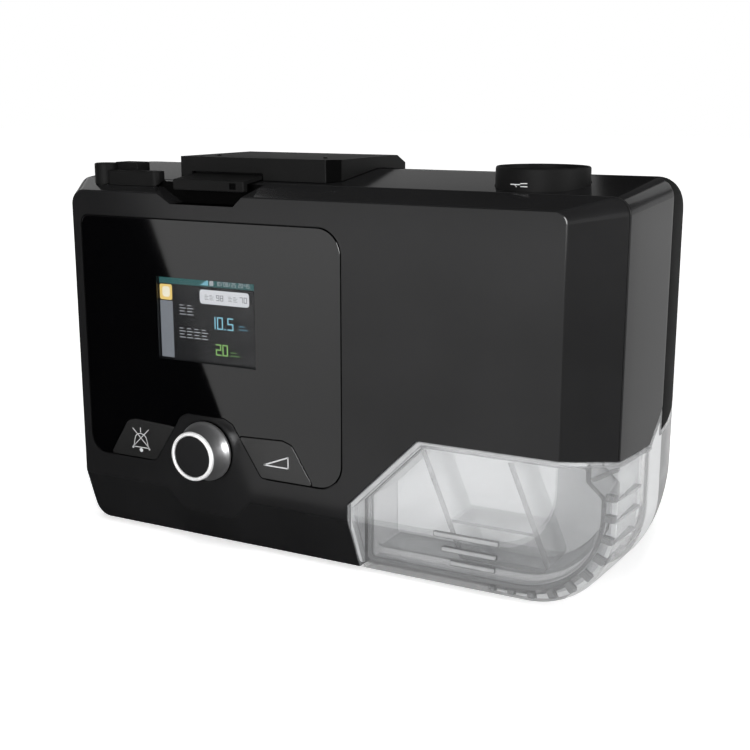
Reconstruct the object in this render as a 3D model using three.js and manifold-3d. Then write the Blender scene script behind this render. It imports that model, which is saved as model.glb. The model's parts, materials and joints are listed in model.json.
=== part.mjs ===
// A bedside breathing machine with a side-loading clear water tank, as an assembly of separate pieces.
// Millimetres. +X is the machine's right seen from the front, +Y runs from the front to the rear, +Z is up.
// The origin is under the middle of the whole machine, on the surface that its feet stand on.
// Every depth below is measured back from the flat front face of the casing.
import * as THREE from "three";
import { mergeVertices } from "three/addons/utils/BufferGeometryUtils.js";
import Module from "manifold-3d";

const wasm = await Module();
wasm.setup();

// Overall casing
const CREST_WIDTH = 264.4; // widest girth, a third of the way back
const CREST_TOP = 170.5;
const CREST_DEPTH = 51.5;
const BODY_DEPTH = 115;
const PARTING_DEPTH = 10.9; // where the front cover meets the rear housing
const FOOT_HEIGHT = 2;
const PARTING_INSET = 4.7; // how much narrower each side is at the parting line
const PARTING_DROP = 5; // how much lower the top is there
const FACE_LEFT_INSET = 0.1; // from the parting outline to the flat front face
const FACE_RIGHT_INSET = 20.5;
const FACE_TOP_DROP = 5.2;
const CHIN_RISE = 24.9;
const REAR_INSET = 11.1;
const REAR_DROP = 11.2;
const REAR_BEVEL = 3;
const DIP_DEPTH = 9; // the front face reaches lower under the knob
const DIP_HALF_WIDTH = 12.9;
const DIP_SLANT = 10;
const CORNERS = {
  face: { lowLeft: 8, lowRight: 27, highRight: 5, highLeft: 6.7 },
  parting: { lowLeft: 10, lowRight: 36, highRight: 7, highLeft: 7 },
  crest: { lowLeft: 12, lowRight: 40, highRight: 8, highLeft: 8 },
  rear: { lowLeft: 10, lowRight: 34, highRight: 7, highLeft: 7 },
};

// Walls and clearances
const WALL = 2.4;
const FRONT_WALL = 4;
const SLOPE_SHIFT = 2; // moves the hollow back, so that the sloping faces keep their thickness
const SEAM = 0.5; // visible joint between two mouldings
const FIT = 0.3; // between seated pieces
const OVERRUN = 1; // how far a cut runs past a face
const FAR = 400; // longer than anything that is cut
const MERGE = 1e-4;
const ARC_STEPS = 6;
const BIG_ARC_STEPS = 12;
const ROUND_SIDES = 32;
const SMALL_SIDES = 16;

// Knob, which the front layout is centred on
const KNOB_SHARE = 0.4972; // of the way from the face's left edge to the tank
const KNOB_HEIGHT = 47.6;
const KNOB_PROUD = 11.6;
const KNOB = {
  ring: 11,
  capRadius: 8.9,
  capSink: 0.4,
  capThick: 0.9,
  ringEdge: 0.8,
  waist: 12,
  waistAt: 3.4,
  base: 13.4,
  rim: 0.9,
  lift: 0.6,
  bore: 2.9,
  boreEnd: 4,
  press: 0.5,
  pocketSink: 1.3,
};
const PLUNGER_RADIUS = 2.6;
const PLUNGER_HOLE = 4.2;
const ENCODER = { width: 12, front: 7.6 };

// Glossy panel with the display
const PANEL = { fromLeft: 5, fromSeam: 2.6, low: 39, fromTop: 11, thick: 1.6 };
const PANEL_CORNERS = { lowLeft: 8, lowRight: 11, highRight: 11, highLeft: 4 };
const DISPLAY = { fromKnob: 1.25, width: 51.4, height: 36.6, middleShare: 0.4925, thick: 6.5, lens: 1.5 };
const LENS_GAP = 0.1;
const LCD_MARGIN = 1.3;

// Outlines on the front: how far each point is from the knob's centre line, as shares of half the
// panel's width, and how high it is
const SURROUND = {
  acrossShares: [0.4003, 0.4107, 0.2545, 0.2083, 0.1458],
  heights: [30, 40.6, 56.4, 61.2, 63.2],
};
const BUTTON = {
  acrossShares: [0.4107, 0.4092, 0.8155, 0.6607, 0.5952, 0.2589],
  heights: [40.6, PANEL.low, PANEL.low, 55.7, 57.2, 56.3],
};
const BUTTON_PRESS = 0.6;
const BUTTON_FLANGE = 1.2;
const BUTTON_STEM = 2;
const SWITCH = { width: 6, tall: 2.5, gap: 0.8 };

// Circuit board behind the front
const BOARD = { depth: 14, thick: 1.6, sideMargin: 9.5, low: 32, topMargin: 1.3 };
const BOSS_RADIUS = 3;
const BOSS_FROM_EDGE = 6;
const BOSS_LOW = 70;
const BUZZER = { radius: 6, tall: 6, fromRight: 27.9, height: 78 };

// Clear water tank and the bay it slides into
const TANK = {
  widthShare: 0.4448, // of the whole width, from the seam to the crest's right side
  seamKnee: 33.6,
  seamTop: 65.6,
  wall: 2.2,
  lipTall: 2,
  lipDeep: 3,
};
const WING = { start: 39.9, peak: 78.7, rearLine: 69.5, inward: 12 };
const TUB = {
  left: 3.4, // from the seam
  bottom: 9,
  top: 62,
  frontDepth: 12.5,
  rearMargin: 12,
  rightMarginFront: 5.5, // from the outline at the parting line
  rightMarginRear: 9.5,
  wall: 1.8,
  corner: 36,
  smallCorner: 2,
  diagonalDrop: 3.3,
};
const LID = { thick: 2.6, plugDrop: 4.2, margin: 3.2, plugInset: 5 };
const SEAL_THICK = 1.4;
const HOT_PLATE = { thick: 1.1, near: 18, far: 6, depthMargin: 18 };
const BAFFLE = {
  topLeftShare: 0.2287, // of the tank's width, from the seam
  topFromRight: 49.3,
  lowLeftShare: 0.3869,
  low: 13,
  high: 57.7,
  leftHigh: 54.2,
  wall: 2,
  depth: 21,
  fromTub: 2.5,
  shelf: 28.2,
  shelfThick: 1.4,
};
const WEB = { pitch: 13, thick: 1.7, front: 9, shortEnd: 13, longEnd: 36, skip: 10 };
const GRIP = {
  centre: 54.6, // of the longest bar, from the seam
  length: 28,
  height: 28.3,
  drop: 6.8, // from each bar to the next one down
  shorter: 4.55,
  shift: 1.4,
  count: 3,
};
const BAR = { proud: 0.9, root: 2, tall: 1.7 };
const TAB = { depth: 38, length: 4, height: 60.5, tall: 2.6, proud: 1 };

// Heater under the tank
const TRAY = { thick: 2.8, side: 24, fromRear: 15, end: 41, low: 0.2 };
const HEATER = { thick: 2, margin: 4, near: 16, far: 4 };

// Air outlet on the top right
const OUTLET = { fromRight: 46.2, depth: 30.4 };
const PORT = { bore: 8.9, outer: 10.9, rise: 1.5, wall: 2, flange: 15.5, flangeThick: 2 };
const COLLAR = { radius: 18.5, rise: 4.2, bottomDrop: 6.1, lowRadius: 17.7, rim: 1.3, hole: 12.2, web: 4.5 };
const GASKET = { outer: 12.7, inner: 9.4 };
const INLET = { fromKnee: 19.6, fromRear: 41 };

// Accessory module on the top left and its latch over the finger notch
const MODULE = {
  left: 20.4, // from the knob's centre line
  right: 58.8,
  front: 14.7,
  rear: 78.9,
  proud: 5.1, // above the crest
  slopeStart: 8.9,
  slopeDrop: 4,
  corner: 5,
  wall: 2,
  basePlate: 1.5,
};
const POST = { radius: 0.9, proud: 0.5, inset: 3.2, first: 12, second: 64 };
const NOTCH = { lowLeft: 15.6, lowRight: 17.2, lowDrop: 14.6, topLeft: 22.8, topRight: 22, end: 9.6 };
const LATCH = {
  left: 13.8,
  right: 22.7,
  front: 0.3,
  lowDrop: 13.5, // below the module's top
  highDrop: 8.8,
  bar: 3.2,
  tongue: 1.5,
  pinDepth: 18.6,
  pinDrop: 5.9,
  pinRadius: 1.1,
  swing: 0.9,
  ear: 2.4,
};
const LATCH_WINDOW = { side: 2.6, fromRight: 5.4, sink: 1.2 };

// Connector on the top left corner
const PLUG = {
  centre: 13.4, // from the face's left edge
  depth: 9,
  radius: 5.2,
  lowDrop: 8.2, // below the crest's top
  rise: 1.6, // above it
  armEnd: 44.9,
  armFront: 4.2,
  armRear: 12,
  armLowDrop: 8.6,
  armHighDrop: 1.3,
  blockLeft: 16.6,
  blockRight: 29.4,
  blockRear: 20,
  blockRise: 2,
  pin: 2.2,
  pinDepth: 6.4,
  pinEndDrop: 15,
};

// Base plate, feet and screws
const BASE = { thick: 2.6, frontMargin: 16, rearMargin: 7, sideMargin: 25, rightMargin: 6 };
const FOOT = { radius: 7, sunk: 1, fromLeft: 36, front: 37, fromRear: 24, trayFromEnd: 10 };
const SCREW = { head: 2.8, headTall: 1.1, shank: 1.4, length: 9, sunk: 0.2, lug: 5, lugTall: 9.4 };
const SCREW_ROWS = {
  fromLeft: 30,
  fromSeam: 10,
  front: 24,
  leftFromRear: 39,
  rightFromRear: 17,
};

// Blower
const BLOWER = {
  fromKnob: -5.2,
  behindMiddle: 1.9,
  radiusShare: 0.3711, // of the depth behind the board
  low: 20,
  tall: 30,
  wall: 2.4,
  inlet: 14,
  outletWidth: 24,
  outletMore: 4,
};
const IMPELLER = {
  inside: 6,
  disc: 2,
  hub: 6,
  blade: 1.6,
  bladeTall: 15,
  bladeStart: 13,
  count: 9,
  leanAngle: 0.5,
};
const MOTOR = {
  radius: 17,
  tall: 17,
  bore: 9.6,
  shaft: 2,
  rotor: 8.9,
  rotorTall: 8,
  bearing: 5.7,
  bearingTall: 5,
};
const MOUNT = { radius: 5, inside: 8 };
const DUCT = { radius: 10, wall: 1.8, rise: 104, bend: 18, sides: 12, steps: 36 };

// Rear face
const FILTER = { fromLeft: 35.3, fromTop: 43.3, width: 50, height: 50, depth: 15, pad: 9 };
const FILTER_COVER = { thick: 2.4, gap: 0.4, hingeGap: 0.9, slots: 6, slotTall: 3, slotMargin: 8 };
const HINGE_PIN = { radius: 1.1, length: 2.2, down: 2, in: 1.3 };
const GRILLE = { slots: 5, slotTall: 4 };
const MUFFLER = { lowShare: 0.1514, depth: 22, wall: 2 };
const IO_BOARD = { low: 9, thick: 1.6, deep: 12, fromLeft: 20.7, fromSeam: 29.4 };
const JACK = { fromRight: 15.2, width: 14, tall: 14, deep: 14, bore: 3.2, pin: 1, reach: 10, hole: 5 };
const COMM = { fromKnob: -5.2, width: 13, tall: 7.2, deep: 11, slot: 9, slotTall: 4.6 };
const FLAP = { width: 18, height: 11, thick: 1.5 };
const CARD = {
  fromLeft: 6.4,
  width: 24,
  thick: 2.1,
  length: 32,
  corner: 4,
  gap: 0.5,
  socketWall: 1.4,
};

// Derived places
const FRONT_Y = KNOB_PROUD / 2 - BODY_DEPTH / 2;
const crestRight = CREST_WIDTH / 2;
const partingRight = crestRight - PARTING_INSET;
const faceLeft = FACE_LEFT_INSET - partingRight;
const faceRight = partingRight - FACE_RIGHT_INSET;
const faceTop = CREST_TOP - PARTING_DROP - FACE_TOP_DROP;
const faceBottom = FOOT_HEIGHT + CHIN_RISE;
const panelHigh = faceTop - PANEL.fromTop;
const surroundTop = SURROUND.heights.at(-1);
const boardHigh = panelHigh - BOARD.topMargin;
const displayMiddle = surroundTop + (panelHigh - surroundTop) * DISPLAY.middleShare;
const seamX = crestRight - CREST_WIDTH * TANK.widthShare;
const knobX = faceLeft + (seamX - faceLeft) * KNOB_SHARE;
const seamTopX = seamX + TANK.seamTop - TANK.seamKnee;
const bayTop = TANK.seamTop + SEAM / 2;
const bayRoof = bayTop + WALL;
const outletX = crestRight - OUTLET.fromRight;
const inletX = seamTopX + INLET.fromKnee;
const inletDepth = BODY_DEPTH - INLET.fromRear;
const baseTop = FOOT_HEIGHT + BASE.thick;
const ioLeft = IO_BOARD.fromLeft - partingRight;
const ioRight = seamX - IO_BOARD.fromSeam;
const jackX = ioRight - JACK.fromRight;
const cardX = ioLeft + CARD.fromLeft;
const filterMiddle = CREST_TOP - REAR_DROP - REAR_BEVEL - FILTER.fromTop;
const filterX = REAR_INSET + REAR_BEVEL - crestRight + FILTER.fromLeft;
const rearInside = BODY_DEPTH - WALL;
const boardBack = BOARD.depth + BOARD.thick;
const blowerDepth = (rearInside + boardBack) / 2 + BLOWER.behindMiddle;
const blowerRadius = (rearInside - boardBack) * BLOWER.radiusShare;
const blowerReach = blowerRadius + BLOWER.outletMore;
const impellerRadius = blowerRadius - IMPELLER.inside;
const collarBottom = CREST_TOP - COLLAR.bottomDrop;
const portTop = CREST_TOP + PORT.rise;
const notchLow = CREST_TOP - NOTCH.lowDrop;
const moduleTop = CREST_TOP + MODULE.proud;
const latchLow = moduleTop - LATCH.lowDrop;
const latchHigh = moduleTop - LATCH.highDrop;
const latchPin = moduleTop - LATCH.pinDrop;
const footRear = BODY_DEPTH - FOOT.fromRear;
const trayRear = BODY_DEPTH - TRAY.fromRear;
const screwLeft = SCREW_ROWS.fromLeft - crestRight;
const screwRight = seamX - SCREW_ROWS.fromSeam;
const screwPlaces = [
  [screwLeft, SCREW_ROWS.front],
  [screwLeft, BODY_DEPTH - SCREW_ROWS.leftFromRear],
  [screwRight, SCREW_ROWS.front],
  [screwRight, BODY_DEPTH - SCREW_ROWS.rightFromRear],
];

// Solids

// A closed three.js geometry as a solid that can be joined and cut.
function solid(geometry) {
  const bare = geometry.index ? geometry.toNonIndexed() : geometry.clone();
  bare.deleteAttribute("normal");
  bare.deleteAttribute("uv");
  const merged = mergeVertices(bare, MERGE);
  const triVerts = new Uint32Array(merged.index.array);
  const make = () =>
    new wasm.Manifold(
      new wasm.Mesh({ numProp: 3, vertProperties: merged.attributes.position.array, triVerts }),
    );
  const made = make();
  if (made.volume() > 0) return made;
  triVerts.reverse();
  return make();
}

function box(x0, x1, y0, y1, z0, z1) {
  const geometry = new THREE.BoxGeometry(x1 - x0, y1 - y0, z1 - z0);
  return solid(geometry.translate((x0 + x1) / 2, (y0 + y1) / 2, (z0 + z1) / 2));
}

function shapeOf(points) {
  return new THREE.Shape(points.map(([a, b]) => new THREE.Vector2(a, b)));
}

// An outline of [x, z] points run from one depth to another.
function prismY(points, y0, y1) {
  const geometry = new THREE.ExtrudeGeometry(shapeOf(points), { depth: y1 - y0, bevelEnabled: false });
  return solid(geometry.rotateX(Math.PI / 2).translate(0, y1, 0));
}

// An outline of [depth, z] points run from one side to the other.
function prismX(points, x0, x1) {
  const geometry = new THREE.ExtrudeGeometry(shapeOf(points), { depth: x1 - x0, bevelEnabled: false });
  const turn = new THREE.Matrix4().makeBasis(
    new THREE.Vector3(0, 1, 0),
    new THREE.Vector3(0, 0, 1),
    new THREE.Vector3(1, 0, 0),
  );
  return solid(geometry.applyMatrix4(turn).translate(x0, 0, 0));
}

// An outline of [x, depth] points run upwards.
function prismZ(points, z0, z1) {
  const geometry = new THREE.ExtrudeGeometry(shapeOf(points), { depth: z1 - z0, bevelEnabled: false });
  return solid(geometry.translate(0, 0, z0));
}

// A [radius, along] profile turned round the Y axis, then round Z where asked.
function turned(profile, sides = ROUND_SIDES) {
  return new THREE.LatheGeometry(
    profile.map(([r, a]) => new THREE.Vector2(r, a)),
    sides,
  );
}

function turnedY(x, z, profile, sides) {
  return solid(turned(profile, sides).translate(x, 0, z));
}

function turnedZ(x, y, profile, sides) {
  return solid(turned(profile, sides).rotateX(Math.PI / 2).translate(x, y, 0));
}

function rodY(x, z, radius, y0, y1, sides) {
  return turnedY(x, z, [[0, y0], [radius, y0], [radius, y1], [0, y1]], sides);
}

function rodZ(x, y, radius, z0, z1, sides) {
  return turnedZ(x, y, [[0, z0], [radius, z0], [radius, z1], [0, z1]], sides);
}

function rodX(y, z, radius, x0, x1, sides = SMALL_SIDES) {
  const geometry = turned([[0, x0], [radius, x0], [radius, x1], [0, x1]], sides);
  return solid(geometry.rotateZ(-Math.PI / 2).translate(0, y, z));
}

function tubeZ(x, y, inner, outer, z0, z1, sides) {
  return turnedZ(x, y, [[inner, z0], [outer, z0], [outer, z1], [inner, z1], [inner, z0]], sides);
}

function join(first, ...others) {
  return others.reduce((sum, next) => sum.add(next), first);
}

function cut(first, ...others) {
  return others.reduce((rest, next) => rest.subtract(next), first);
}

// Every edge of a counter-clockwise outline moved outwards by one distance.
function outset(points, distance) {
  const count = points.length;
  return points.map((point, i) => {
    const before = points[(i + count - 1) % count];
    const after = points[(i + 1) % count];
    const [ax, ay] = unit(point[0] - before[0], point[1] - before[1]);
    const [bx, by] = unit(after[0] - point[0], after[1] - point[1]);
    const spread = 1 + ax * bx + ay * by;
    return [point[0] + (distance * (ay + by)) / spread, point[1] - (distance * (ax + bx)) / spread];
  });
}

function unit(x, y) {
  const length = Math.hypot(x, y);
  return [x / length, y / length];
}

// A corner of an outline as an arc that ends on its two edges, which meet at the point.
function fillet(before, corner, after, radius, steps) {
  const [ax, ay] = unit(before[0] - corner[0], before[1] - corner[1]);
  const [bx, by] = unit(after[0] - corner[0], after[1] - corner[1]);
  const half = Math.acos(ax * bx + ay * by) / 2;
  const back = radius / Math.tan(half);
  const [mx, my] = unit(ax + bx, ay + by);
  const centre = [corner[0] + (mx * radius) / Math.sin(half), corner[1] + (my * radius) / Math.sin(half)];
  const start = Math.atan2(corner[1] + ay * back - centre[1], corner[0] + ax * back - centre[0]);
  const end = Math.atan2(corner[1] + by * back - centre[1], corner[0] + bx * back - centre[0]);
  const turn = Math.atan2(Math.sin(end - start), Math.cos(end - start));
  return Array.from({ length: steps + 1 }, (_, i) => {
    const angle = start + (turn * i) / steps;
    return [centre[0] + radius * Math.cos(angle), centre[1] + radius * Math.sin(angle)];
  });
}

// An outline whose points may carry a radius, [x, y, radius], and a number of steps.
function rounded(points) {
  const count = points.length;
  return points.flatMap((point, i) => {
    const [x, y, radius, steps = ARC_STEPS] = point;
    if (!radius) return [[x, y]];
    return fillet(points[(i + count - 1) % count], [x, y], points[(i + 1) % count], radius, steps);
  });
}

// A body through outlines of equal point counts, each [depth, outline], from front to rear.
function loft(stations) {
  const count = stations[0][1].length;
  const positions = stations.flatMap(([y, outline]) => outline.flatMap(([x, z]) => [x, y, z]));
  const indices = [];
  stations.slice(1).forEach((_, s) => {
    for (let i = 0; i < count; i++) {
      const a = s * count + i;
      const b = s * count + ((i + 1) % count);
      indices.push(a, b, a + count, b, b + count, a + count);
    }
  });
  const last = (stations.length - 1) * count;
  const capOf = (outline) =>
    THREE.ShapeUtils.triangulateShape(outline.map(([x, z]) => new THREE.Vector2(x, z)), []);
  capOf(stations[0][1]).forEach(([a, b, c]) => indices.push(a, c, b));
  capOf(stations.at(-1)[1]).forEach(([a, b, c]) => indices.push(last + a, last + b, last + c));
  const geometry = new THREE.BufferGeometry();
  geometry.setAttribute("position", new THREE.Float32BufferAttribute(positions, 3));
  geometry.setIndex(indices);
  return solid(geometry);
}

// Casing

const CASING_STATIONS = [
  {
    depth: 0,
    left: faceLeft,
    right: faceRight,
    bottom: faceBottom,
    top: faceTop,
    dip: DIP_DEPTH,
    corners: CORNERS.face,
  },
  {
    depth: PARTING_DEPTH,
    left: -partingRight,
    right: partingRight,
    bottom: FOOT_HEIGHT,
    top: CREST_TOP - PARTING_DROP,
    dip: 0,
    corners: CORNERS.parting,
  },
  {
    depth: CREST_DEPTH,
    left: -crestRight,
    right: crestRight,
    bottom: FOOT_HEIGHT,
    top: CREST_TOP,
    dip: 0,
    corners: CORNERS.crest,
  },
  {
    depth: BODY_DEPTH - REAR_BEVEL,
    left: REAR_INSET - crestRight,
    right: crestRight - REAR_INSET,
    bottom: FOOT_HEIGHT,
    top: CREST_TOP - REAR_DROP,
    dip: 0,
    corners: CORNERS.crest,
  },
  {
    depth: BODY_DEPTH,
    left: REAR_INSET + REAR_BEVEL - crestRight,
    right: crestRight - REAR_INSET - REAR_BEVEL,
    bottom: FOOT_HEIGHT + REAR_BEVEL,
    top: CREST_TOP - REAR_DROP - REAR_BEVEL,
    dip: 0,
    corners: CORNERS.rear,
  },
];

// The casing's section at any depth, between the two stations round it.
function sectionAt(depth) {
  const last = CASING_STATIONS.length - 1;
  const next = Math.min(last, Math.max(1, CASING_STATIONS.findIndex((s) => s.depth >= depth)));
  const a = CASING_STATIONS[next - 1];
  const b = CASING_STATIONS[next];
  const share = (depth - a.depth) / (b.depth - a.depth);
  const mix = (from, to) => from + (to - from) * share;
  const corners = Object.fromEntries(
    Object.keys(a.corners).map((key) => [key, mix(a.corners[key], b.corners[key])]),
  );
  return {
    left: mix(a.left, b.left),
    right: mix(a.right, b.right),
    bottom: mix(a.bottom, b.bottom),
    top: mix(a.top, b.top),
    dip: mix(a.dip, b.dip),
    corners,
  };
}

// The section as an outline, counter-clockwise from its lower left corner, drawn in by a distance.
function casingOutline(section, inset) {
  const { corners, dip } = section;
  const left = section.left + inset;
  const right = section.right - inset;
  const bottom = section.bottom + inset;
  const top = section.top - inset;
  return rounded([
    [left, bottom, corners.lowLeft - inset],
    [knobX - DIP_HALF_WIDTH - DIP_SLANT + inset, bottom],
    [knobX - DIP_HALF_WIDTH + inset, bottom - dip],
    [knobX + DIP_HALF_WIDTH - inset, bottom - dip],
    [knobX + DIP_HALF_WIDTH + DIP_SLANT - inset, bottom],
    [right, bottom, corners.lowRight - inset, BIG_ARC_STEPS],
    [right, top, corners.highRight - inset],
    [left, top, corners.highLeft - inset],
  ]);
}

function casing(inset) {
  return loft(CASING_STATIONS.map((s) => [s.depth, casingOutline(s, inset)]));
}

// The space inside a wall: the same outlines drawn in and moved back.
function hollow(wall, frontWall) {
  const depths = [
    frontWall,
    PARTING_DEPTH + SLOPE_SHIFT,
    CREST_DEPTH + SLOPE_SHIFT,
    BODY_DEPTH - wall,
  ];
  return loft(depths.map((depth) => [depth, casingOutline(sectionAt(depth - SLOPE_SHIFT), wall)]));
}

// Everything on the tank's side of its seam, grown or shrunk by a distance.
function tankSpace(grow) {
  const outline = [
    [seamX, -FAR],
    [FAR, -FAR],
    [FAR, TANK.seamTop],
    [seamTopX, TANK.seamTop],
    [seamX, TANK.seamKnee],
  ];
  const wing = [
    [WING.start, TANK.seamKnee],
    [FAR, TANK.seamKnee],
    [FAR, WING.rearLine],
    [CREST_DEPTH, WING.rearLine],
    [CREST_DEPTH, WING.peak],
    [WING.start, TANK.seamTop],
  ];
  const wingX = crestRight - WING.inward;
  return join(prismY(outset(outline, grow), -FAR, FAR), prismX(outset(wing, grow), wingX - grow, FAR));
}

const outerCasing = casing(0);
const seatedCasing = casing(-FIT);
const tankBay = tankSpace(SEAM / 2);
const tankBayWalls = tankSpace(SEAM / 2 + WALL);

// The notch for a finger under the latch, in the top edge of the front.
function notchPrism(grow, end) {
  const slopeLeft = (NOTCH.topLeft - NOTCH.lowLeft) / (faceTop - notchLow);
  const slopeRight = (NOTCH.topRight - NOTCH.lowRight) / (faceTop - notchLow);
  const rise = CREST_TOP - notchLow;
  const outline = [
    [knobX - NOTCH.lowLeft, notchLow],
    [knobX + NOTCH.lowRight, notchLow],
    [knobX + NOTCH.lowRight + slopeRight * rise, CREST_TOP],
    [knobX - NOTCH.lowLeft - slopeLeft * rise, CREST_TOP],
  ];
  return prismY(outset(outline, grow), -OVERRUN, end + grow);
}

// The round seat that the outlet collar turns in.
function collarSeat(grow) {
  return rodZ(outletX, OUTLET.depth, COLLAR.radius + FIT + grow, collarBottom - FIT - grow, FAR);
}

// The pocket for the air filter in the rear face.
function filterPocket(grow) {
  const x = filterX;
  const halfWidth = FILTER.width / 2 + grow;
  const halfHeight = FILTER.height / 2 + grow;
  return box(
    x - halfWidth,
    x + halfWidth,
    BODY_DEPTH - FILTER.depth - grow,
    BODY_DEPTH + OVERRUN,
    filterMiddle - halfHeight,
    filterMiddle + halfHeight,
  );
}

const casingHollow = cut(
  hollow(WALL, FRONT_WALL),
  tankBayWalls,
  notchPrism(WALL, NOTCH.end),
  collarSeat(WALL),
  filterPocket(WALL),
);
const casingShell = cut(
  outerCasing,
  casingHollow,
  tankBay,
  notchPrism(0, NOTCH.end),
  collarSeat(0),
  filterPocket(0),
);

// Front cover

const panelLeft = faceLeft + PANEL.fromLeft;
const panelRight = seamX - PANEL.fromSeam;
const panelHalf = (panelRight - panelLeft) / 2;
const panelOutline = rounded([
  [panelLeft, PANEL.low, PANEL_CORNERS.lowLeft],
  [panelRight, PANEL.low, PANEL_CORNERS.lowRight],
  [panelRight, panelHigh, PANEL_CORNERS.highRight],
  [panelLeft, panelHigh, PANEL_CORNERS.highLeft],
]);
const surroundOutline = [...frontPoints(SURROUND, 1), ...frontPoints(SURROUND, -1).reverse()];
const displayX = knobX + DISPLAY.fromKnob;

// An outline's points on one side of the knob: side is -1 for the left and 1 for the right.
function frontPoints({ acrossShares, heights }, side) {
  return acrossShares.map((share, i) => [knobX + side * share * panelHalf, heights[i]]);
}

function buttonOutline(side) {
  return orderedCounterClockwise(frontPoints(BUTTON, side));
}

function orderedCounterClockwise(points) {
  const area = THREE.ShapeUtils.area(points.map(([x, z]) => new THREE.Vector2(x, z)));
  return area > 0 ? points : [...points].reverse();
}

function displayOpening(margin, y0, y1) {
  return box(
    displayX - DISPLAY.width / 2 - margin,
    displayX + DISPLAY.width / 2 + margin,
    y0,
    y1,
    displayMiddle - DISPLAY.height / 2 - margin,
    displayMiddle + DISPLAY.height / 2 + margin,
  );
}

const boardLeft = faceLeft + BOARD.sideMargin;
const boardRight = seamX - BOARD.sideMargin;
const bossPlaces = [boardLeft, boardRight].flatMap((x, i) =>
  [BOSS_LOW, boardHigh - BOSS_FROM_EDGE].map((z) => [x + (i ? -BOSS_FROM_EDGE : BOSS_FROM_EDGE), z]),
);

function frontCover() {
  const front = box(-FAR, FAR, -OVERRUN, PARTING_DEPTH - SEAM / 2, -FAR, FAR);
  const recess = cut(
    prismY(outset(panelOutline, SEAM), -OVERRUN, PANEL.thick + FIT),
    prismY(surroundOutline, -FAR, FAR),
  );
  const bosses = bossPlaces.map(([x, z]) =>
    rodY(x, z, BOSS_RADIUS, FRONT_WALL - FIT, BOARD.depth - FIT, SMALL_SIDES),
  );
  return cut(
    join(casingShell.intersect(front), ...bosses),
    recess,
    displayOpening(LCD_MARGIN + FIT, 0, FRONT_WALL + OVERRUN),
    prismY(outset(buttonOutline(-1), FIT), -OVERRUN, FRONT_WALL + OVERRUN),
    prismY(outset(buttonOutline(1), FIT), -OVERRUN, FRONT_WALL + OVERRUN),
    rodY(knobX, KNOB_HEIGHT, KNOB.base + FIT + FIT, -OVERRUN, KNOB.pocketSink),
    rodY(knobX, KNOB_HEIGHT, PLUNGER_HOLE, -OVERRUN, FRONT_WALL + OVERRUN),
    plugHole(),
  );
}

function frontPanel() {
  return cut(
    prismY(panelOutline, 0, PANEL.thick),
    prismY(outset(surroundOutline, SEAM), -OVERRUN, FAR),
    prismY(outset(buttonOutline(-1), SEAM), -OVERRUN, FAR),
    prismY(outset(buttonOutline(1), SEAM), -OVERRUN, FAR),
    displayOpening(LENS_GAP, -OVERRUN, FAR),
  );
}

function displayLens() {
  return displayOpening(0, 0, DISPLAY.lens);
}

function lcdModule() {
  const front = PANEL.thick + FIT;
  return displayOpening(LCD_MARGIN, front, front + DISPLAY.thick);
}

function button(side) {
  const outline = buttonOutline(side);
  const flangeBack = FRONT_WALL + FIT + BUTTON_FLANGE;
  const [x, z] = buttonCentre(side);
  return join(
    prismY(outline, 0, flangeBack),
    prismY(outset(outline, BUTTON_FLANGE), FRONT_WALL + FIT, flangeBack),
    rodY(x, z, BUTTON_STEM, FRONT_WALL, switchFront() - SWITCH.gap, SMALL_SIDES),
  );
}

function buttonCentre(side) {
  const outline = buttonOutline(side);
  const mean = (axis) => outline.reduce((sum, p) => sum + p[axis], 0) / outline.length;
  return [mean(0), mean(1)];
}

function switchFront() {
  return BOARD.depth - FIT - SWITCH.tall;
}

function buttonSwitch(side) {
  const [x, z] = buttonCentre(side);
  const half = SWITCH.width / 2;
  return box(x - half, x + half, switchFront(), BOARD.depth - FIT, z - half, z + half);
}

function mainBoard() {
  return box(boardLeft, boardRight, BOARD.depth, BOARD.depth + BOARD.thick, BOARD.low, boardHigh);
}

function alarmBuzzer() {
  const back = BOARD.depth - FIT;
  const x = boardRight - BUZZER.fromRight;
  return rodY(x, BUZZER.height, BUZZER.radius, back - BUZZER.tall, back, SMALL_SIDES);
}

// Knob, built round its own axis, which points back along +Y

const knobFront = -KNOB_PROUD;

function knobShell() {
  const base = -KNOB.lift;
  return turnedY(0, 0, [
    [0, knobFront + KNOB.capSink + KNOB.capThick + FIT],
    [KNOB.capRadius, knobFront + KNOB.capSink + KNOB.capThick + FIT],
    [KNOB.capRadius, knobFront + KNOB.ringEdge / 2],
    [KNOB.capRadius + KNOB.ringEdge / 2, knobFront],
    [KNOB.ring - KNOB.ringEdge, knobFront],
    [KNOB.ring, knobFront + KNOB.ringEdge],
    [KNOB.waist, base - KNOB.waistAt],
    [KNOB.base, base - KNOB.rim - KNOB.rim],
    [KNOB.base, base],
    [KNOB.bore, base],
    [KNOB.bore, knobFront + KNOB.boreEnd],
    [0, knobFront + KNOB.boreEnd],
  ]);
}

function knobCap() {
  const front = knobFront + KNOB.capSink;
  return rodY(0, 0, KNOB.capRadius - FIT, front, front + KNOB.capThick);
}

function knobPlunger() {
  const front = knobFront + KNOB.boreEnd + FIT;
  const rear = ENCODER.front - KNOB.press - FIT;
  return rodY(0, 0, PLUNGER_RADIUS, front, rear, SMALL_SIDES);
}

function encoderBody() {
  const half = ENCODER.width / 2;
  return box(-half, half, ENCODER.front, BOARD.depth - FIT, -half, half);
}

// Rear housing

// A block on the casing wall that a base screw bites into.
function screwLug([x, y]) {
  const reach = x < knobX ? [-crestRight, x + SCREW.lug] : [x - SCREW.lug, seamX];
  const low = baseTop + FIT;
  const block = box(...reach, y - SCREW.lug, y + SCREW.lug, low, low + SCREW.lugTall);
  return cut(block.intersect(outerCasing), tankBay);
}

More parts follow.
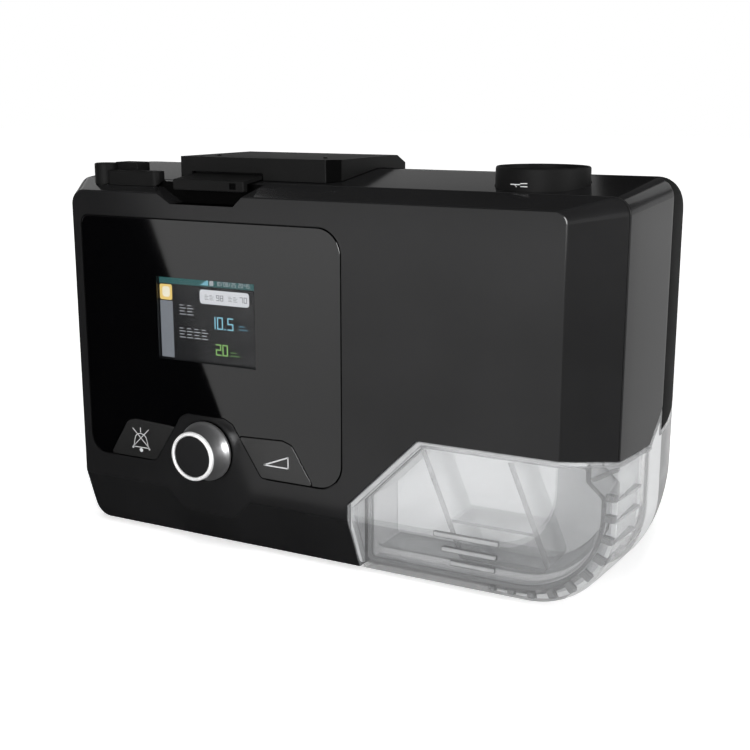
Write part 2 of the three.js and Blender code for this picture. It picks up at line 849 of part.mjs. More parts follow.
function basePlateOutline(gap) {
  return [
    BASE.sideMargin - crestRight - gap,
    seamX - BASE.rightMargin + gap,
    BASE.frontMargin - gap,
    BODY_DEPTH - BASE.rearMargin + gap,
  ];
}

function traySlot() {
  const [, plateRight] = basePlateOutline(0);
  return box(
    plateRight,
    seamX + OVERRUN,
    TRAY.side - SEAM,
    trayRear + SEAM,
    -FAR,
    FOOT_HEIGHT + TRAY.low + TRAY.thick + SEAM,
  );
}

function grilleSlots() {
  const x = filterX;
  const halfWidth = FILTER.width / 2 - WALL - WALL;
  const floor = BODY_DEPTH - FILTER.depth;
  const pitch = (FILTER.height - WALL - WALL) / GRILLE.slots;
  return Array.from({ length: GRILLE.slots }, (_, i) => {
    const z = filterMiddle + pitch * (i - (GRILLE.slots - 1) / 2);
    const half = GRILLE.slotTall / 2;
    return box(x - halfWidth, x + halfWidth, floor - WALL - OVERRUN, floor + OVERRUN, z - half, z + half);
  });
}

// Holes in the rear wall for the filter cover's two hinge pins.
function hingeHoles() {
  const half = FILTER.width / 2 + HINGE_PIN.length;
  const x = filterX;
  return rodX(filterHinge.depth, filterHinge.height, HINGE_PIN.radius + FIT, x - half, x + half);
}

const filterHinge = {
  depth: BODY_DEPTH - HINGE_PIN.in,
  height: filterMiddle + FILTER.height / 2 - FILTER_COVER.hingeGap - HINGE_PIN.down,
};

function mainHousing() {
  const behind = box(-FAR, FAR, PARTING_DEPTH + SEAM / 2, FAR, -FAR, FAR);
  const [x0, x1, y0, y1] = basePlateOutline(FIT);
  return cut(
    join(casingShell, ...screwPlaces.map(screwLug)).intersect(behind),
    box(x0, x1, y0, y1, -FAR, baseTop + FIT),
    traySlot(),
    ...screwPlaces.map(([x, y]) =>
      rodZ(x, y, SCREW.shank + FIT, 0, baseTop + SCREW.length, SMALL_SIDES),
    ),
    rodZ(outletX, OUTLET.depth, GASKET.outer + FIT, bayTop - OVERRUN, bayRoof + OVERRUN),
    rodZ(inletX, inletDepth, GASKET.outer + FIT, bayTop - OVERRUN, bayRoof + OVERRUN),
    rodZ(outletX, OUTLET.depth, PORT.outer + PORT.wall, bayRoof, FAR),
    ...grilleSlots(),
    hingeHoles(),
    rodY(jackX, ioTop + JACK.tall / 2, JACK.hole, rearInside - OVERRUN, FAR),
    commCut(0, FLAP.width, FLAP.height, BODY_DEPTH - FLAP.thick - FIT),
    commCut(0, COMM.slot, COMM.slotTall, rearInside - OVERRUN),
    cardSlot(rearInside - OVERRUN),
    plugHole(),
  );
}

// Base, feet, screws and heater

function footPlaces() {
  const left = FOOT.fromLeft - crestRight;
  const right = trayEnd - FOOT.trayFromEnd;
  return {
    foot_front_left: [left, FOOT.front],
    foot_rear_left: [left, footRear],
    foot_front_right: [right, FOOT.front],
    foot_rear_right: [right, footRear],
  };
}

const trayEnd = crestRight - TRAY.end;

function footPockets() {
  return Object.values(footPlaces()).map(([x, y]) =>
    rodZ(x, y, FOOT.radius + FIT, -FAR, FOOT_HEIGHT + FOOT.sunk + FIT),
  );
}

function foot([x, y]) {
  return rodZ(x, y, FOOT.radius, 0, FOOT_HEIGHT + FOOT.sunk);
}

function basePlate() {
  const [x0, x1, y0, y1] = basePlateOutline(0);
  const ioHigh = IO_BOARD.low - FIT;
  const posts = [ioLeft + SCREW.lug, ioRight - SCREW.lug].map((x) =>
    rodZ(x, y1 - SCREW.lug, BOSS_RADIUS, baseTop - OVERRUN, ioHigh, SMALL_SIDES),
  );
  return cut(
    join(box(x0, x1, y0, y1, FOOT_HEIGHT, baseTop), ...posts),
    ...footPockets(),
    ...screwPlaces.flatMap(([x, y]) => [
      rodZ(x, y, SCREW.shank + FIT, 0, FAR, SMALL_SIDES),
      rodZ(x, y, SCREW.head + FIT, 0, screwSeat + FIT, SMALL_SIDES),
    ]),
  );
}

const screwSeat = FOOT_HEIGHT + SCREW.sunk + SCREW.headTall;

function baseScrew([x, y]) {
  const low = FOOT_HEIGHT + SCREW.sunk;
  return turnedZ(
    x,
    y,
    [
      [0, low],
      [SCREW.head, low],
      [SCREW.head, screwSeat],
      [SCREW.shank, screwSeat],
      [SCREW.shank, screwSeat + SCREW.length],
      [0, screwSeat + SCREW.length],
    ],
    SMALL_SIDES,
  );
}

const trayLow = FOOT_HEIGHT + TRAY.low;
const trayTop = trayLow + TRAY.thick;
const heaterLow = trayTop + FIT;
const heaterTop = heaterLow + HEATER.thick;

function heaterTray() {
  const [, plateRight] = basePlateOutline(FIT);
  return cut(box(plateRight, trayEnd, TRAY.side, trayRear, trayLow, trayTop), ...footPockets());
}

function heaterPlate() {
  return box(
    seamX + HEATER.near,
    trayEnd - HEATER.far,
    TRAY.side + HEATER.margin,
    trayRear - HEATER.margin,
    heaterLow,
    heaterTop,
  );
}

// Water tank

const tubLeft = seamX + TUB.left;
const tubRightFront = partingRight - TUB.rightMarginFront;
const tubRightRear = crestRight - REAR_INSET - TUB.rightMarginRear + TUB.rightMarginFront;
const tubRear = BODY_DEPTH - TUB.rearMargin;

function tubOutline(right, inset) {
  const left = tubLeft + inset;
  const top = TUB.top - inset;
  const diagonal = TANK.seamKnee - seamX - TUB.diagonalDrop - inset * Math.SQRT2;
  const small = TUB.smallCorner;
  return rounded([
    [left, TUB.bottom + inset, small],
    [right - inset, TUB.bottom + inset, TUB.corner - inset, BIG_ARC_STEPS],
    [right - inset, top, small],
    [top - diagonal, top, small],
    [left, left + diagonal, small],
  ]);
}

function lidOpening(grow, z0, z1) {
  const x0 = tubTopLeft + LID.plugInset - grow;
  const x1 = tubRightRear - LID.plugInset + grow;
  return box(x0, x1, TUB.frontDepth + LID.plugInset - grow, tubRear - LID.plugInset + grow, z0, z1);
}

const tubTopLeft = TUB.top - (TANK.seamKnee - seamX - TUB.diagonalDrop);

function tankTub() {
  const front = TUB.frontDepth;
  const wall = TUB.wall;
  const outer = loft([
    [front, tubOutline(tubRightFront, 0)],
    [tubRear, tubOutline(tubRightRear, 0)],
  ]);
  const inner = loft([
    [front + wall, tubOutline(tubRightFront, wall)],
    [tubRear - wall, tubOutline(tubRightRear, wall)],
  ]);
  return cut(outer, inner, lidOpening(SEAL_THICK + FIT + FIT, TUB.top - wall - OVERRUN, FAR));
}

function tankLid() {
  const low = TUB.top + FIT;
  const plugLow = low - LID.plugDrop;
  const slab = box(
    tubTopLeft + LID.margin,
    tubRightRear - LID.margin,
    TUB.frontDepth + LID.margin,
    tubRear - LID.margin,
    low,
    low + LID.thick,
  );
  return cut(
    join(slab, lidOpening(0, plugLow, low + FIT)),
    rodZ(outletX, OUTLET.depth, PORT.bore, -FAR, FAR),
    rodZ(inletX, inletDepth, PORT.bore, -FAR, FAR),
  );
}

function tankSeal() {
  const low = TUB.top - TUB.wall;
  return cut(lidOpening(FIT + SEAL_THICK, low, TUB.top), lidOpening(FIT, low - OVERRUN, FAR));
}

function tankHotPlate() {
  const top = TUB.bottom - FIT;
  return box(
    seamX + HOT_PLATE.near,
    trayEnd - HOT_PLATE.far,
    TUB.frontDepth + HOT_PLATE.depthMargin,
    tubRear - HOT_PLATE.depthMargin / 2,
    top - HOT_PLATE.thick,
    top,
  );
}

// The slanting chute under the outlet port that keeps water out of the hose.
function tankBaffle() {
  const tankWidth = crestRight - seamX;
  const topLeft = tankWidth * BAFFLE.topLeftShare;
  const lean = (tankWidth * BAFFLE.lowLeftShare - topLeft) / (BAFFLE.high - BAFFLE.low);
  const leftAt = (z) => seamX + topLeft + (BAFFLE.high - z) * lean;
  const rightAt = (z) => leftAt(z) + tankWidth - BAFFLE.topFromRight - topLeft;
  const y0 = TUB.frontDepth + BAFFLE.fromTub;
  const y1 = y0 + BAFFLE.depth;
  const high = BAFFLE.high;
  const outside = rounded([
    [leftAt(BAFFLE.low), BAFFLE.low, BAFFLE.wall],
    [rightAt(BAFFLE.low), BAFFLE.low, BAFFLE.wall + BAFFLE.wall],
    [rightAt(high), high],
    [leftAt(high), high],
  ]);
  const wide = BAFFLE.wall * Math.hypot(1, lean);
  const low = BAFFLE.low + BAFFLE.wall;
  const inside = [
    [leftAt(low) + wide, low],
    [rightAt(low) - wide, low],
    [rightAt(FAR) - wide, FAR],
    [leftAt(FAR) + wide, FAR],
  ];
  const shelfTop = BAFFLE.shelf + BAFFLE.shelfThick;
  const shelf = prismY(
    [
      [leftAt(BAFFLE.shelf) + wide / 2, BAFFLE.shelf],
      [rightAt(BAFFLE.shelf) - wide / 2, BAFFLE.shelf],
      [rightAt(shelfTop) - wide / 2, shelfTop],
      [leftAt(shelfTop) + wide / 2, shelfTop],
    ],
    y0,
    y1,
  );
  const shortSide = box(-FAR, leftAt(high) + wide + OVERRUN, -FAR, FAR, BAFFLE.leftHigh, FAR);
  return join(cut(prismY(outside, y0, y1), prismY(inside, -FAR, FAR), shortSide), shelf);
}

// Short webs between the tub and the outer skin, square to the tub's outline and evenly spaced.
function tankWebs() {
  const outline = tubOutline(tubRightFront, -FIT);
  const webs = [];
  let travelled = 0;
  let next = WEB.skip;
  outline.forEach((a, i) => {
    const b = outline[(i + 1) % outline.length];
    const length = Math.hypot(b[0] - a[0], b[1] - a[1]);
    const [ux, uz] = unit(b[0] - a[0], b[1] - a[1]);
    while (next < travelled + length) {
      const along = next - travelled;
      const x = a[0] + ux * along;
      const z = a[1] + uz * along;
      const isSkinSide = uz >= 0 && ux > -uz && z < TANK.seamTop - WEB.pitch / 2;
      if (isSkinSide) webs.push(webAt(x, z, ux, uz));
      next += WEB.pitch;
    }
    travelled += length;
  });
  return webs;
}

function webAt(x, z, ux, uz) {
  const half = WEB.thick / 2;
  const reach = TUB.bottom + TUB.wall;
  const corner = (along, out) => [x + ux * along + uz * out, z + uz * along - ux * out];
  const outline = [corner(-half, 0), corner(-half, reach), corner(half, reach), corner(half, 0)];
  const end = uz > Math.SQRT1_2 ? WEB.longEnd : WEB.shortEnd;
  return prismY(orderedCounterClockwise(outline), WEB.front, end);
}

function tankSkin() {
  const space = tankSpace(-SEAM / 2);
  const outside = outerCasing.intersect(space);
  const skin = cut(outside, hollow(TANK.wall, TANK.wall));
  const lipInside = TANK.wall + TANK.lipDeep;
  const lipBand = cut(outside, tankSpace(-SEAM / 2 - TANK.lipTall), hollow(lipInside, lipInside));
  const webs = join(...tankWebs()).intersect(outerCasing);
  return { skin, lipBand, webs };
}

function gripBars() {
  const slope = PARTING_DEPTH / CHIN_RISE;
  return Array.from({ length: GRIP.count }, (_, i) => {
    const x = seamX + GRIP.centre + GRIP.shift * i;
    const height = GRIP.height - GRIP.drop * i;
    const length = GRIP.length - GRIP.shorter * i;
    const surface = Math.max(0, (faceBottom - height) * slope);
    const half = length / 2;
    const rise = BAR.tall / 2;
    return box(x - half, x + half, surface - BAR.proud, surface + BAR.root, height - rise, height + rise);
  });
}

function pullTab() {
  const surface = sectionAt(TAB.depth).right;
  const half = TAB.length / 2;
  return box(
    surface - TANK.wall,
    surface + TAB.proud,
    TAB.depth - half,
    TAB.depth + half,
    TAB.height - TAB.tall / 2,
    TAB.height + TAB.tall / 2,
  );
}

function tankShell() {
  const { skin, lipBand, webs } = tankSkin();
  const underside = box(
    -FAR,
    trayEnd + TANK.wall,
    TRAY.side - TANK.wall,
    trayRear + TANK.wall,
    -FAR,
    TUB.bottom - OVERRUN,
  );
  return cut(join(skin, lipBand, webs, ...gripBars(), pullTab()), underside);
}

// Air outlet

function outletDuct() {
  const low = bayRoof + FIT;
  return turnedZ(0, 0, [
    [PORT.bore, low],
    [PORT.flange, low],
    [PORT.flange, low + PORT.flangeThick],
    [PORT.outer, low + PORT.flangeThick],
    [PORT.outer, portTop],
    [PORT.bore, portTop],
    [PORT.bore, low],
  ]);
}

function portGasket(x, y) {
  return tubeZ(x, y, GASKET.inner, GASKET.outer, bayTop - FIT / 2, bayRoof);
}

function outletCollar() {
  const { radius, lowRadius, rim, hole, web } = COLLAR;
  const top = CREST_TOP + COLLAR.rise;
  const bottom = collarBottom;
  return turnedZ(
    0,
    0,
    [
      [hole, bottom],
      [lowRadius, bottom],
      [lowRadius, bottom + web / 2],
      [radius, bottom + web],
      [radius, top - rim / 2],
      [radius - rim / 2, top],
      [radius - rim, top],
      [radius - rim, bottom + web],
      [hole, bottom + web],
      [hole, bottom],
    ],
    ROUND_SIDES + SMALL_SIDES,
  );
}

// Accessory module and latch

const moduleLeft = knobX - MODULE.left;
const moduleRight = knobX + MODULE.right;

function moduleBlock(inset) {
  const top = moduleTop - inset;
  const front = MODULE.front + inset;
  const rear = MODULE.rear - inset;
  const profile = [
    [front, CREST_TOP / 2],
    [rear, CREST_TOP / 2],
    [rear, top - MODULE.slopeDrop],
    [rear - MODULE.slopeStart, top],
    [front, top],
  ];
  const block = prismX(profile, moduleLeft + inset, moduleRight - inset);
  const corner = MODULE.corner;
  const plan = [
    [moduleLeft + inset, front],
    [moduleRight - inset - corner, front],
    [moduleRight - inset, front + corner],
    [moduleRight - inset, rear],
    [moduleLeft + inset, rear],
  ];
  return block.intersect(prismZ(plan, -FAR, FAR));
}

// The latch's tongue seen from the side, from its bar back to its pin, grown for the slot it passes.
function latchTongue(grow, lift) {
  const back = LATCH.pinDepth;
  const low = latchPin - LATCH.tongue / 2;
  const front = LATCH.front + LATCH.bar - OVERRUN;
  return [
    [front, latchHigh - LATCH.tongue - grow],
    [back, low - grow],
    [back, low + LATCH.tongue + grow + lift],
    [front, latchHigh + grow + lift],
  ];
}

function moduleCover() {
  const shell = cut(moduleBlock(0), moduleBlock(MODULE.wall), seatedCasing);
  const earLow = CREST_TOP - PARTING_DROP + LATCH.tongue + MODULE.basePlate;
  const ears = [
    [knobX - LATCH.left - FIT - LATCH.ear, knobX - LATCH.left - FIT],
    [knobX + LATCH.right + FIT, knobX + LATCH.right + FIT + LATCH.ear],
  ].map(([x0, x1]) =>
    box(x0, x1, MODULE.front + OVERRUN, LATCH.pinDepth + LATCH.ear, earLow, moduleTop - OVERRUN),
  );
  const posts = [POST.first, POST.second].map((along) =>
    rodZ(
      moduleLeft + along,
      MODULE.front + POST.inset,
      POST.radius,
      moduleTop - OVERRUN,
      moduleTop + POST.proud,
      SMALL_SIDES,
    ),
  );
  const pinHole = rodX(LATCH.pinDepth, latchPin, LATCH.pinRadius + FIT, -FAR, FAR);
  return cut(
    join(shell, ...ears, ...posts),
    prismX(latchTongue(FIT, LATCH.swing), knobX - LATCH.left - FIT, knobX + LATCH.right + FIT),
    pinHole.intersect(moduleBlock(MODULE.wall)),
  );
}

function moduleBase() {
  const space = moduleBlock(MODULE.wall + FIT);
  const tray = cut(space.intersect(casing(-FIT - MODULE.basePlate)), seatedCasing);
  const latchRoom = box(
    knobX - LATCH.left - LATCH.ear - FIT - FIT,
    knobX + LATCH.right + LATCH.ear + FIT + FIT,
    -FAR,
    LATCH.pinDepth + LATCH.ear + FIT,
    -FAR,
    FAR,
  );
  return cut(tray, latchRoom);
}

function moduleLatch() {
  const x0 = knobX - LATCH.left;
  const x1 = knobX + LATCH.right;
  const bar = box(x0, x1, LATCH.front, LATCH.front + LATCH.bar, latchLow, latchHigh);
  const tongue = prismX(latchTongue(0, 0), x0, x1);
  const pinEnds = LATCH.ear - FIT;
  const pin = rodX(LATCH.pinDepth, latchPin, LATCH.pinRadius, x0 - pinEnds, x1 + pinEnds);
  const windowX = x1 - LATCH_WINDOW.fromRight;
  const middle = (latchLow + latchHigh) / 2;
  const half = LATCH_WINDOW.side / 2;
  const window = box(
    windowX - half,
    windowX + half,
    -OVERRUN,
    LATCH.front + LATCH_WINDOW.sink,
    middle - half,
    middle + half,
  );
  return cut(join(bar, tongue, pin), window);
}

// Connector on the top left corner

const plugX = faceLeft + PLUG.centre;

function plugHole() {
  return rodZ(plugX, PLUG.pinDepth, PLUG.pin + FIT, CREST_TOP - PLUG.pinEndDrop - OVERRUN, FAR, SMALL_SIDES);
}

function sensorPlug() {
  const { radius } = PLUG;
  const low = CREST_TOP - PLUG.lowDrop;
  const high = CREST_TOP + PLUG.rise;
  const barrel = turnedZ(plugX, PLUG.depth, [
    [0, low - radius],
    [radius / 2, low - radius],
    [radius, low + OVERRUN],
    [radius, high - FIT],
    [radius - FIT, high],
    [0, high],
  ]);
  const armOutline = rounded([
    [plugX, PLUG.armFront],
    [faceLeft + PLUG.armEnd, PLUG.armFront, radius / 2],
    [faceLeft + PLUG.armEnd, PLUG.armRear, radius / 2],
    [plugX, PLUG.armRear],
  ]);
  const arm = prismZ(armOutline, CREST_TOP - PLUG.armLowDrop, CREST_TOP - PLUG.armHighDrop);
  const block = box(
    faceLeft + PLUG.blockLeft,
    faceLeft + PLUG.blockRight,
    PLUG.armRear - OVERRUN,
    PLUG.blockRear,
    CREST_TOP - PLUG.armLowDrop,
    CREST_TOP + PLUG.blockRise,
  );
  const body = cut(join(barrel, arm, block), seatedCasing);
  const pinLow = CREST_TOP - PLUG.pinEndDrop;
  return join(body, rodZ(plugX, PLUG.pinDepth, PLUG.pin, pinLow, high - OVERRUN, SMALL_SIDES));
}

// Blower, built round its own upright axis

const blowerX = knobX + BLOWER.fromKnob;
const blowerMid = BLOWER.low + BLOWER.tall / 2;
const blowerTop = BLOWER.low + BLOWER.tall;

function outletPipe(shrink, reach) {
  const half = BLOWER.outletWidth / 2 - shrink;
  const y0 = shrink - blowerRadius;
  return box(0, reach, y0, y0 + half + half, blowerMid - half, blowerMid + half);
}

function blowerCase() {
  const inside = blowerRadius - BLOWER.wall;
  const outside = join(
    rodZ(0, 0, blowerRadius, BLOWER.low, blowerTop),
    outletPipe(0, blowerReach),
  );
  return cut(
    outside,
    rodZ(0, 0, inside, BLOWER.low + BLOWER.wall, blowerTop - BLOWER.wall),
    outletPipe(BLOWER.wall, blowerReach + OVERRUN),
    rodZ(0, 0, BLOWER.inlet, 0, BLOWER.low + BLOWER.wall + OVERRUN),
    rodZ(0, 0, MOTOR.bearing + FIT, blowerTop - BLOWER.wall - OVERRUN, FAR),
  );
}

function blowerVolute() {
  return blowerCase().intersect(box(-FAR, FAR, -FAR, FAR, -FAR, blowerMid - FIT / 2));
}

function blowerCover() {
  return blowerCase().intersect(box(-FAR, FAR, -FAR, FAR, blowerMid + FIT / 2, FAR));
}

function impeller() {
  const discTop = blowerTop - BLOWER.wall - WALL;
  const low = discTop - IMPELLER.bladeTall - IMPELLER.disc;
  const disc = join(
    rodZ(0, 0, impellerRadius, discTop - IMPELLER.disc, discTop),
    rodZ(0, 0, IMPELLER.hub, low, discTop),
  );
  const blades = Array.from({ length: IMPELLER.count }, (_, i) => {
    const reach = impellerRadius - IMPELLER.bladeStart;
    const blade = new THREE.BoxGeometry(reach, IMPELLER.blade, IMPELLER.bladeTall + OVERRUN);
    blade.rotateZ(IMPELLER.leanAngle);
    const middle = discTop - IMPELLER.disc - IMPELLER.bladeTall / 2;
    blade.translate(IMPELLER.bladeStart + reach / 2 - IMPELLER.blade, 0, middle);
    blade.rotateZ((i / IMPELLER.count) * Math.PI * 2);
    return solid(blade);
  });
  return cut(join(disc, ...blades), rodZ(0, 0, MOTOR.shaft + FIT, 0, FAR, SMALL_SIDES));
}

const motorLow = blowerTop + FIT;

function motorStator() {
  const top = motorLow + MOTOR.tall;
  const webTop = motorLow + MOTOR.bearingTall + FIT;
  const seat = MOTOR.bearing + FIT;
  return turnedZ(0, 0, [
    [seat, motorLow],
    [MOTOR.radius, motorLow],
    [MOTOR.radius, top],
    [MOTOR.bore, top],
    [MOTOR.bore, webTop],
    [seat, webTop],
    [seat, motorLow],
  ]);
}

function motorBearing() {
  return tubeZ(0, 0, MOTOR.shaft + FIT, MOTOR.bearing, motorLow, motorLow + MOTOR.bearingTall, SMALL_SIDES);
}

function motorShaft() {
  const rotorLow = motorLow + MOTOR.bearingTall + FIT + FIT + FIT;
  const rotorTop = rotorLow + MOTOR.rotorTall;
  return turnedZ(
    0,
    0,
    [
      [0, BLOWER.low + BLOWER.wall + OVERRUN],
      [MOTOR.shaft, BLOWER.low + BLOWER.wall + OVERRUN],
      [MOTOR.shaft, rotorLow],
      [MOTOR.rotor, rotorLow],
      [MOTOR.rotor, rotorTop],
      [0, rotorTop],
    ],
    SMALL_SIDES,
  );
}

function blowerMount(angle) {
  const ring = blowerRadius - MOUNT.inside;
  const x = ring * Math.cos(angle);
  const y = ring * Math.sin(angle);
  return rodZ(x, y, MOUNT.radius, baseTop + FIT, BLOWER.low - FIT, SMALL_SIDES);
}

// The pipe from the blower up over the tank bay and down to the tank's inlet.
function blowerDuct() {
  const start = new THREE.Vector3(
    blowerX + blowerReach + FIT,
    blowerDepth - blowerRadius + BLOWER.outletWidth / 2,
    blowerMid,
  );
  const corners = [
    start,
    new THREE.Vector3(start.x + DUCT.radius + DUCT.bend / 2, start.y, start.z),
    new THREE.Vector3(start.x + DUCT.radius + DUCT.bend / 2, start.y, DUCT.rise),
    new THREE.Vector3(inletX, inletDepth, DUCT.rise),
    new THREE.Vector3(inletX, inletDepth, bayRoof + FIT),
  ];
  const path = new THREE.CurvePath();
  let from = corners[0];
  corners.slice(1, -1).forEach((corner, i) => {
    const before = corner.clone().add(towards(corner, corners[i], DUCT.bend));
    const after = corner.clone().add(towards(corner, corners[i + 2], DUCT.bend));
    if (from.distanceTo(before) > MERGE) path.add(new THREE.LineCurve3(from, before));
    path.add(new THREE.QuadraticBezierCurve3(before, corner, after));
    from = after;
  });
  path.add(new THREE.LineCurve3(from, corners.at(-1)));
  const ring = (radius) => {
    const shape = new THREE.Shape();
    return shape.absarc(0, 0, radius, 0, Math.PI * 2, false);
  };
  const tube = (radius) =>
    solid(
      new THREE.ExtrudeGeometry(ring(radius), {
        steps: DUCT.steps,
        curveSegments: DUCT.sides / 2,
        extrudePath: path,
      }),
    );
  return cut(tube(DUCT.radius), tube(DUCT.radius - DUCT.wall));
}

// A step from one point towards another, at most as long as asked and never past the middle.
function towards(from, to, length) {
  const way = to.clone().sub(from);
  return way.setLength(Math.min(length, way.length() / 2));
}

// Rear face pieces


function airFilter() {
  const halfWidth = FILTER.width / 2 - SEAM;
  const halfHeight = FILTER.height / 2 - SEAM;
  const floor = BODY_DEPTH - FILTER.depth + FIT;
  return box(
    filterX - halfWidth,
    filterX + halfWidth,
    floor,
    floor + FILTER.pad,
    filterMiddle - halfHeight,
    filterMiddle + halfHeight,
  );
}

function filterCover() {
  const halfWidth = FILTER.width / 2 - FILTER_COVER.gap;
  const low = filterMiddle - FILTER.height / 2 + FILTER_COVER.gap;
  const high = filterMiddle + FILTER.height / 2 - FILTER_COVER.hingeGap;
  const plate = box(
    filterX - halfWidth,
    filterX + halfWidth,
    BODY_DEPTH - FILTER_COVER.thick,
    BODY_DEPTH,
    low,
    high,
  );
  const slotHalf = halfWidth - FILTER_COVER.slotMargin;
  const pitch = (high - low - FILTER_COVER.slotMargin) / FILTER_COVER.slots;
  const slots = Array.from({ length: FILTER_COVER.slots }, (_, i) => {
    const z = (low + high) / 2 + pitch * (i - (FILTER_COVER.slots - 1) / 2);
    const half = FILTER_COVER.slotTall / 2;
    return box(filterX - slotHalf, filterX + slotHalf, 0, FAR, z - half, z + half);
  });
  const pinReach = FILTER.width / 2 + HINGE_PIN.length - FIT;
  const { depth, height } = filterHinge;
  const pins = rodX(depth, height, HINGE_PIN.radius, filterX - pinReach, filterX + pinReach);
  return cut(join(plate, pins), ...slots);
}

function inletMuffler() {
  const halfWidth = FILTER.width / 2;
  const rear = BODY_DEPTH - FILTER.depth - WALL - FIT;
  const high = filterMiddle + FILTER.height / 2;
  const { depth, wall } = MUFFLER;
  const motorTop = blowerTop + FIT + MOTOR.tall;
  const low = motorTop + (high - motorTop) * MUFFLER.lowShare;
  const outside = box(filterX - halfWidth, filterX + halfWidth, rear - depth, rear, low, high);
  const inside = box(
    filterX - halfWidth + wall,
    filterX + halfWidth - wall,
    rear - depth + wall,
    rear + OVERRUN,
    low + wall,
    high - wall,
  );
  const drain = box(
    filterX - halfWidth / 2,
    filterX + halfWidth / 2,
    rear - depth / 2,
    rear - wall,
    low - OVERRUN,
    low + wall + OVERRUN,
  );
  return cut(outside, inside, drain);
}

const ioTop = IO_BOARD.low + IO_BOARD.thick + FIT;
const cardLow = ioTop + CARD.socketWall + CARD.gap;
const cardHigh = cardLow + CARD.thick;

function ioBoard() {
  const rear = rearInside - FIT;
  return box(
    ioLeft,
    ioRight,
    rear - IO_BOARD.deep,
    rear,
    IO_BOARD.low,
    IO_BOARD.low + IO_BOARD.thick,
  );
}

function dcJack() {
  const x = jackX;
  const rear = rearInside - FIT;
  const middle = ioTop + JACK.tall / 2;
  const block = box(
    x - JACK.width / 2,
    x + JACK.width / 2,
    rear - JACK.deep,
    rear,
    ioTop,
    ioTop + JACK.tall,
  );
  const bore = rodY(x, middle, JACK.bore, rear - JACK.reach, rear + OVERRUN, SMALL_SIDES);
  const pin = rodY(x, middle, JACK.pin, rear - JACK.reach - OVERRUN, rear - OVERRUN, SMALL_SIDES);
  return join(cut(block, bore), pin);
}

const commMid = ioTop + COMM.tall / 2;

function commCut(grow, width, height, from) {
  const x = knobX + COMM.fromKnob;
  const halfWidth = width / 2 + grow;
  const halfHeight = height / 2 + grow;
  return box(x - halfWidth, x + halfWidth, from, FAR, commMid - halfHeight, commMid + halfHeight);
}

function commPort() {
  const x = knobX + COMM.fromKnob;
  const rear = rearInside - FIT;
  const half = COMM.width / 2;
  const block = box(x - half, x + half, rear - COMM.deep, rear, ioTop, ioTop + COMM.tall);
  return cut(block, commCut(0, COMM.slot, COMM.slotTall, rear - COMM.deep + WALL));
}

function commFlap() {
  const behind = box(-FAR, FAR, -FAR, BODY_DEPTH, -FAR, FAR);
  return commCut(-FIT, FLAP.width, FLAP.height, BODY_DEPTH - FLAP.thick).intersect(behind);
}

function cardSlot(from) {
  const x = cardX;
  const half = CARD.width / 2 + CARD.gap;
  return box(x - half, x + half, from, FAR, cardLow - CARD.gap, cardHigh + CARD.gap);
}

function cardSocket() {
  const x = cardX;
  const halfWidth = CARD.width / 2 + CARD.gap;
  const rear = rearInside - FIT;
  const front = BODY_DEPTH - CARD.length - CARD.gap;
  const block = box(
    x - halfWidth - CARD.socketWall,
    x + halfWidth + CARD.socketWall,
    front - CARD.socketWall,
    rear,
    ioTop,
    cardHigh + CARD.gap + CARD.socketWall,
  );
  return cut(block, cardSlot(front));
}

function memoryCard() {
  const x = cardX;
  const half = CARD.width / 2;
  const { corner } = CARD;
  const front = BODY_DEPTH - CARD.length;
  const outline = [
    [x - half, front],
    [x + half - corner, front],
    [x + half, front + corner],
    [x + half, BODY_DEPTH],
    [x - half, BODY_DEPTH],
  ];
  return prismZ(outline, cardLow, cardHigh);
}

// Materials

function finish(color, roughness, metalness = 0, opacity = 1) {
  return new THREE.MeshStandardMaterial({
    color,
    roughness,
    metalness,
    opacity,
    transparent: opacity < 1,
  });
}

const FINISHES = {
  satinBlack: finish(0x1b1b1c, 0.45),
  casingBlack: finish(0x202021, 0.5),
  glossBlack: finish(0x08080a, 0.06),
  glass: finish(0x101216, 0.03, 0, 0.35),
  clear: finish(0xdfe4e6, 0.15, 0, 0.4),
  satinMetal: finish(0xb8b8b8, 0.3, 1),
  darkMetal: finish(0x222222, 0.35, 1),
  aluminium: finish(0xc9cbcc, 0.35, 1),
  steel: finish(0xa9adb0, 0.3, 1),
  rubber: finish(0x151515, 0.85),
  greyPlastic: finish(0xb9bcbe, 0.5),
  whiteFoam: finish(0xe6e6e2, 0.95),
  board: finish(0x1d5a35, 0.5),
  silicone: finish(0xd6d8da, 0.6),
};

// Scene graph

function piece(name, made, material) {
  const mesh = made.getMesh();
  const geometry = new THREE.BufferGeometry();
  geometry.setAttribute("position", new THREE.BufferAttribute(mesh.vertProperties, 3));
  geometry.setIndex(new THREE.BufferAttribute(mesh.triVerts, 1));
  const result = new THREE.Mesh(geometry, FINISHES[material]);
  result.name = name;
  return result;
}

function group(position, ...children) {
  const made = new THREE.Group();
  made.position.set(...position);
  made.add(...children);
  return made;
}

const casingPieces = group(
  [0, 0, 0],
  piece("front_cover", frontCover(), "satinBlack"),
  piece("main_housing", mainHousing(), "casingBlack"),
  piece("base_plate", basePlate(), "satinBlack"),
  ...Object.entries(footPlaces()).map(([name, place]) => piece(name, foot(place), "rubber")),
  ...screwPlaces.map((place, i) => piece("base_screw_" + (i + 1), baseScrew(place), "steel")),
  piece("heater_tray", heaterTray(), "greyPlastic"),
  piece("heater_plate", heaterPlate(), "aluminium"),
);

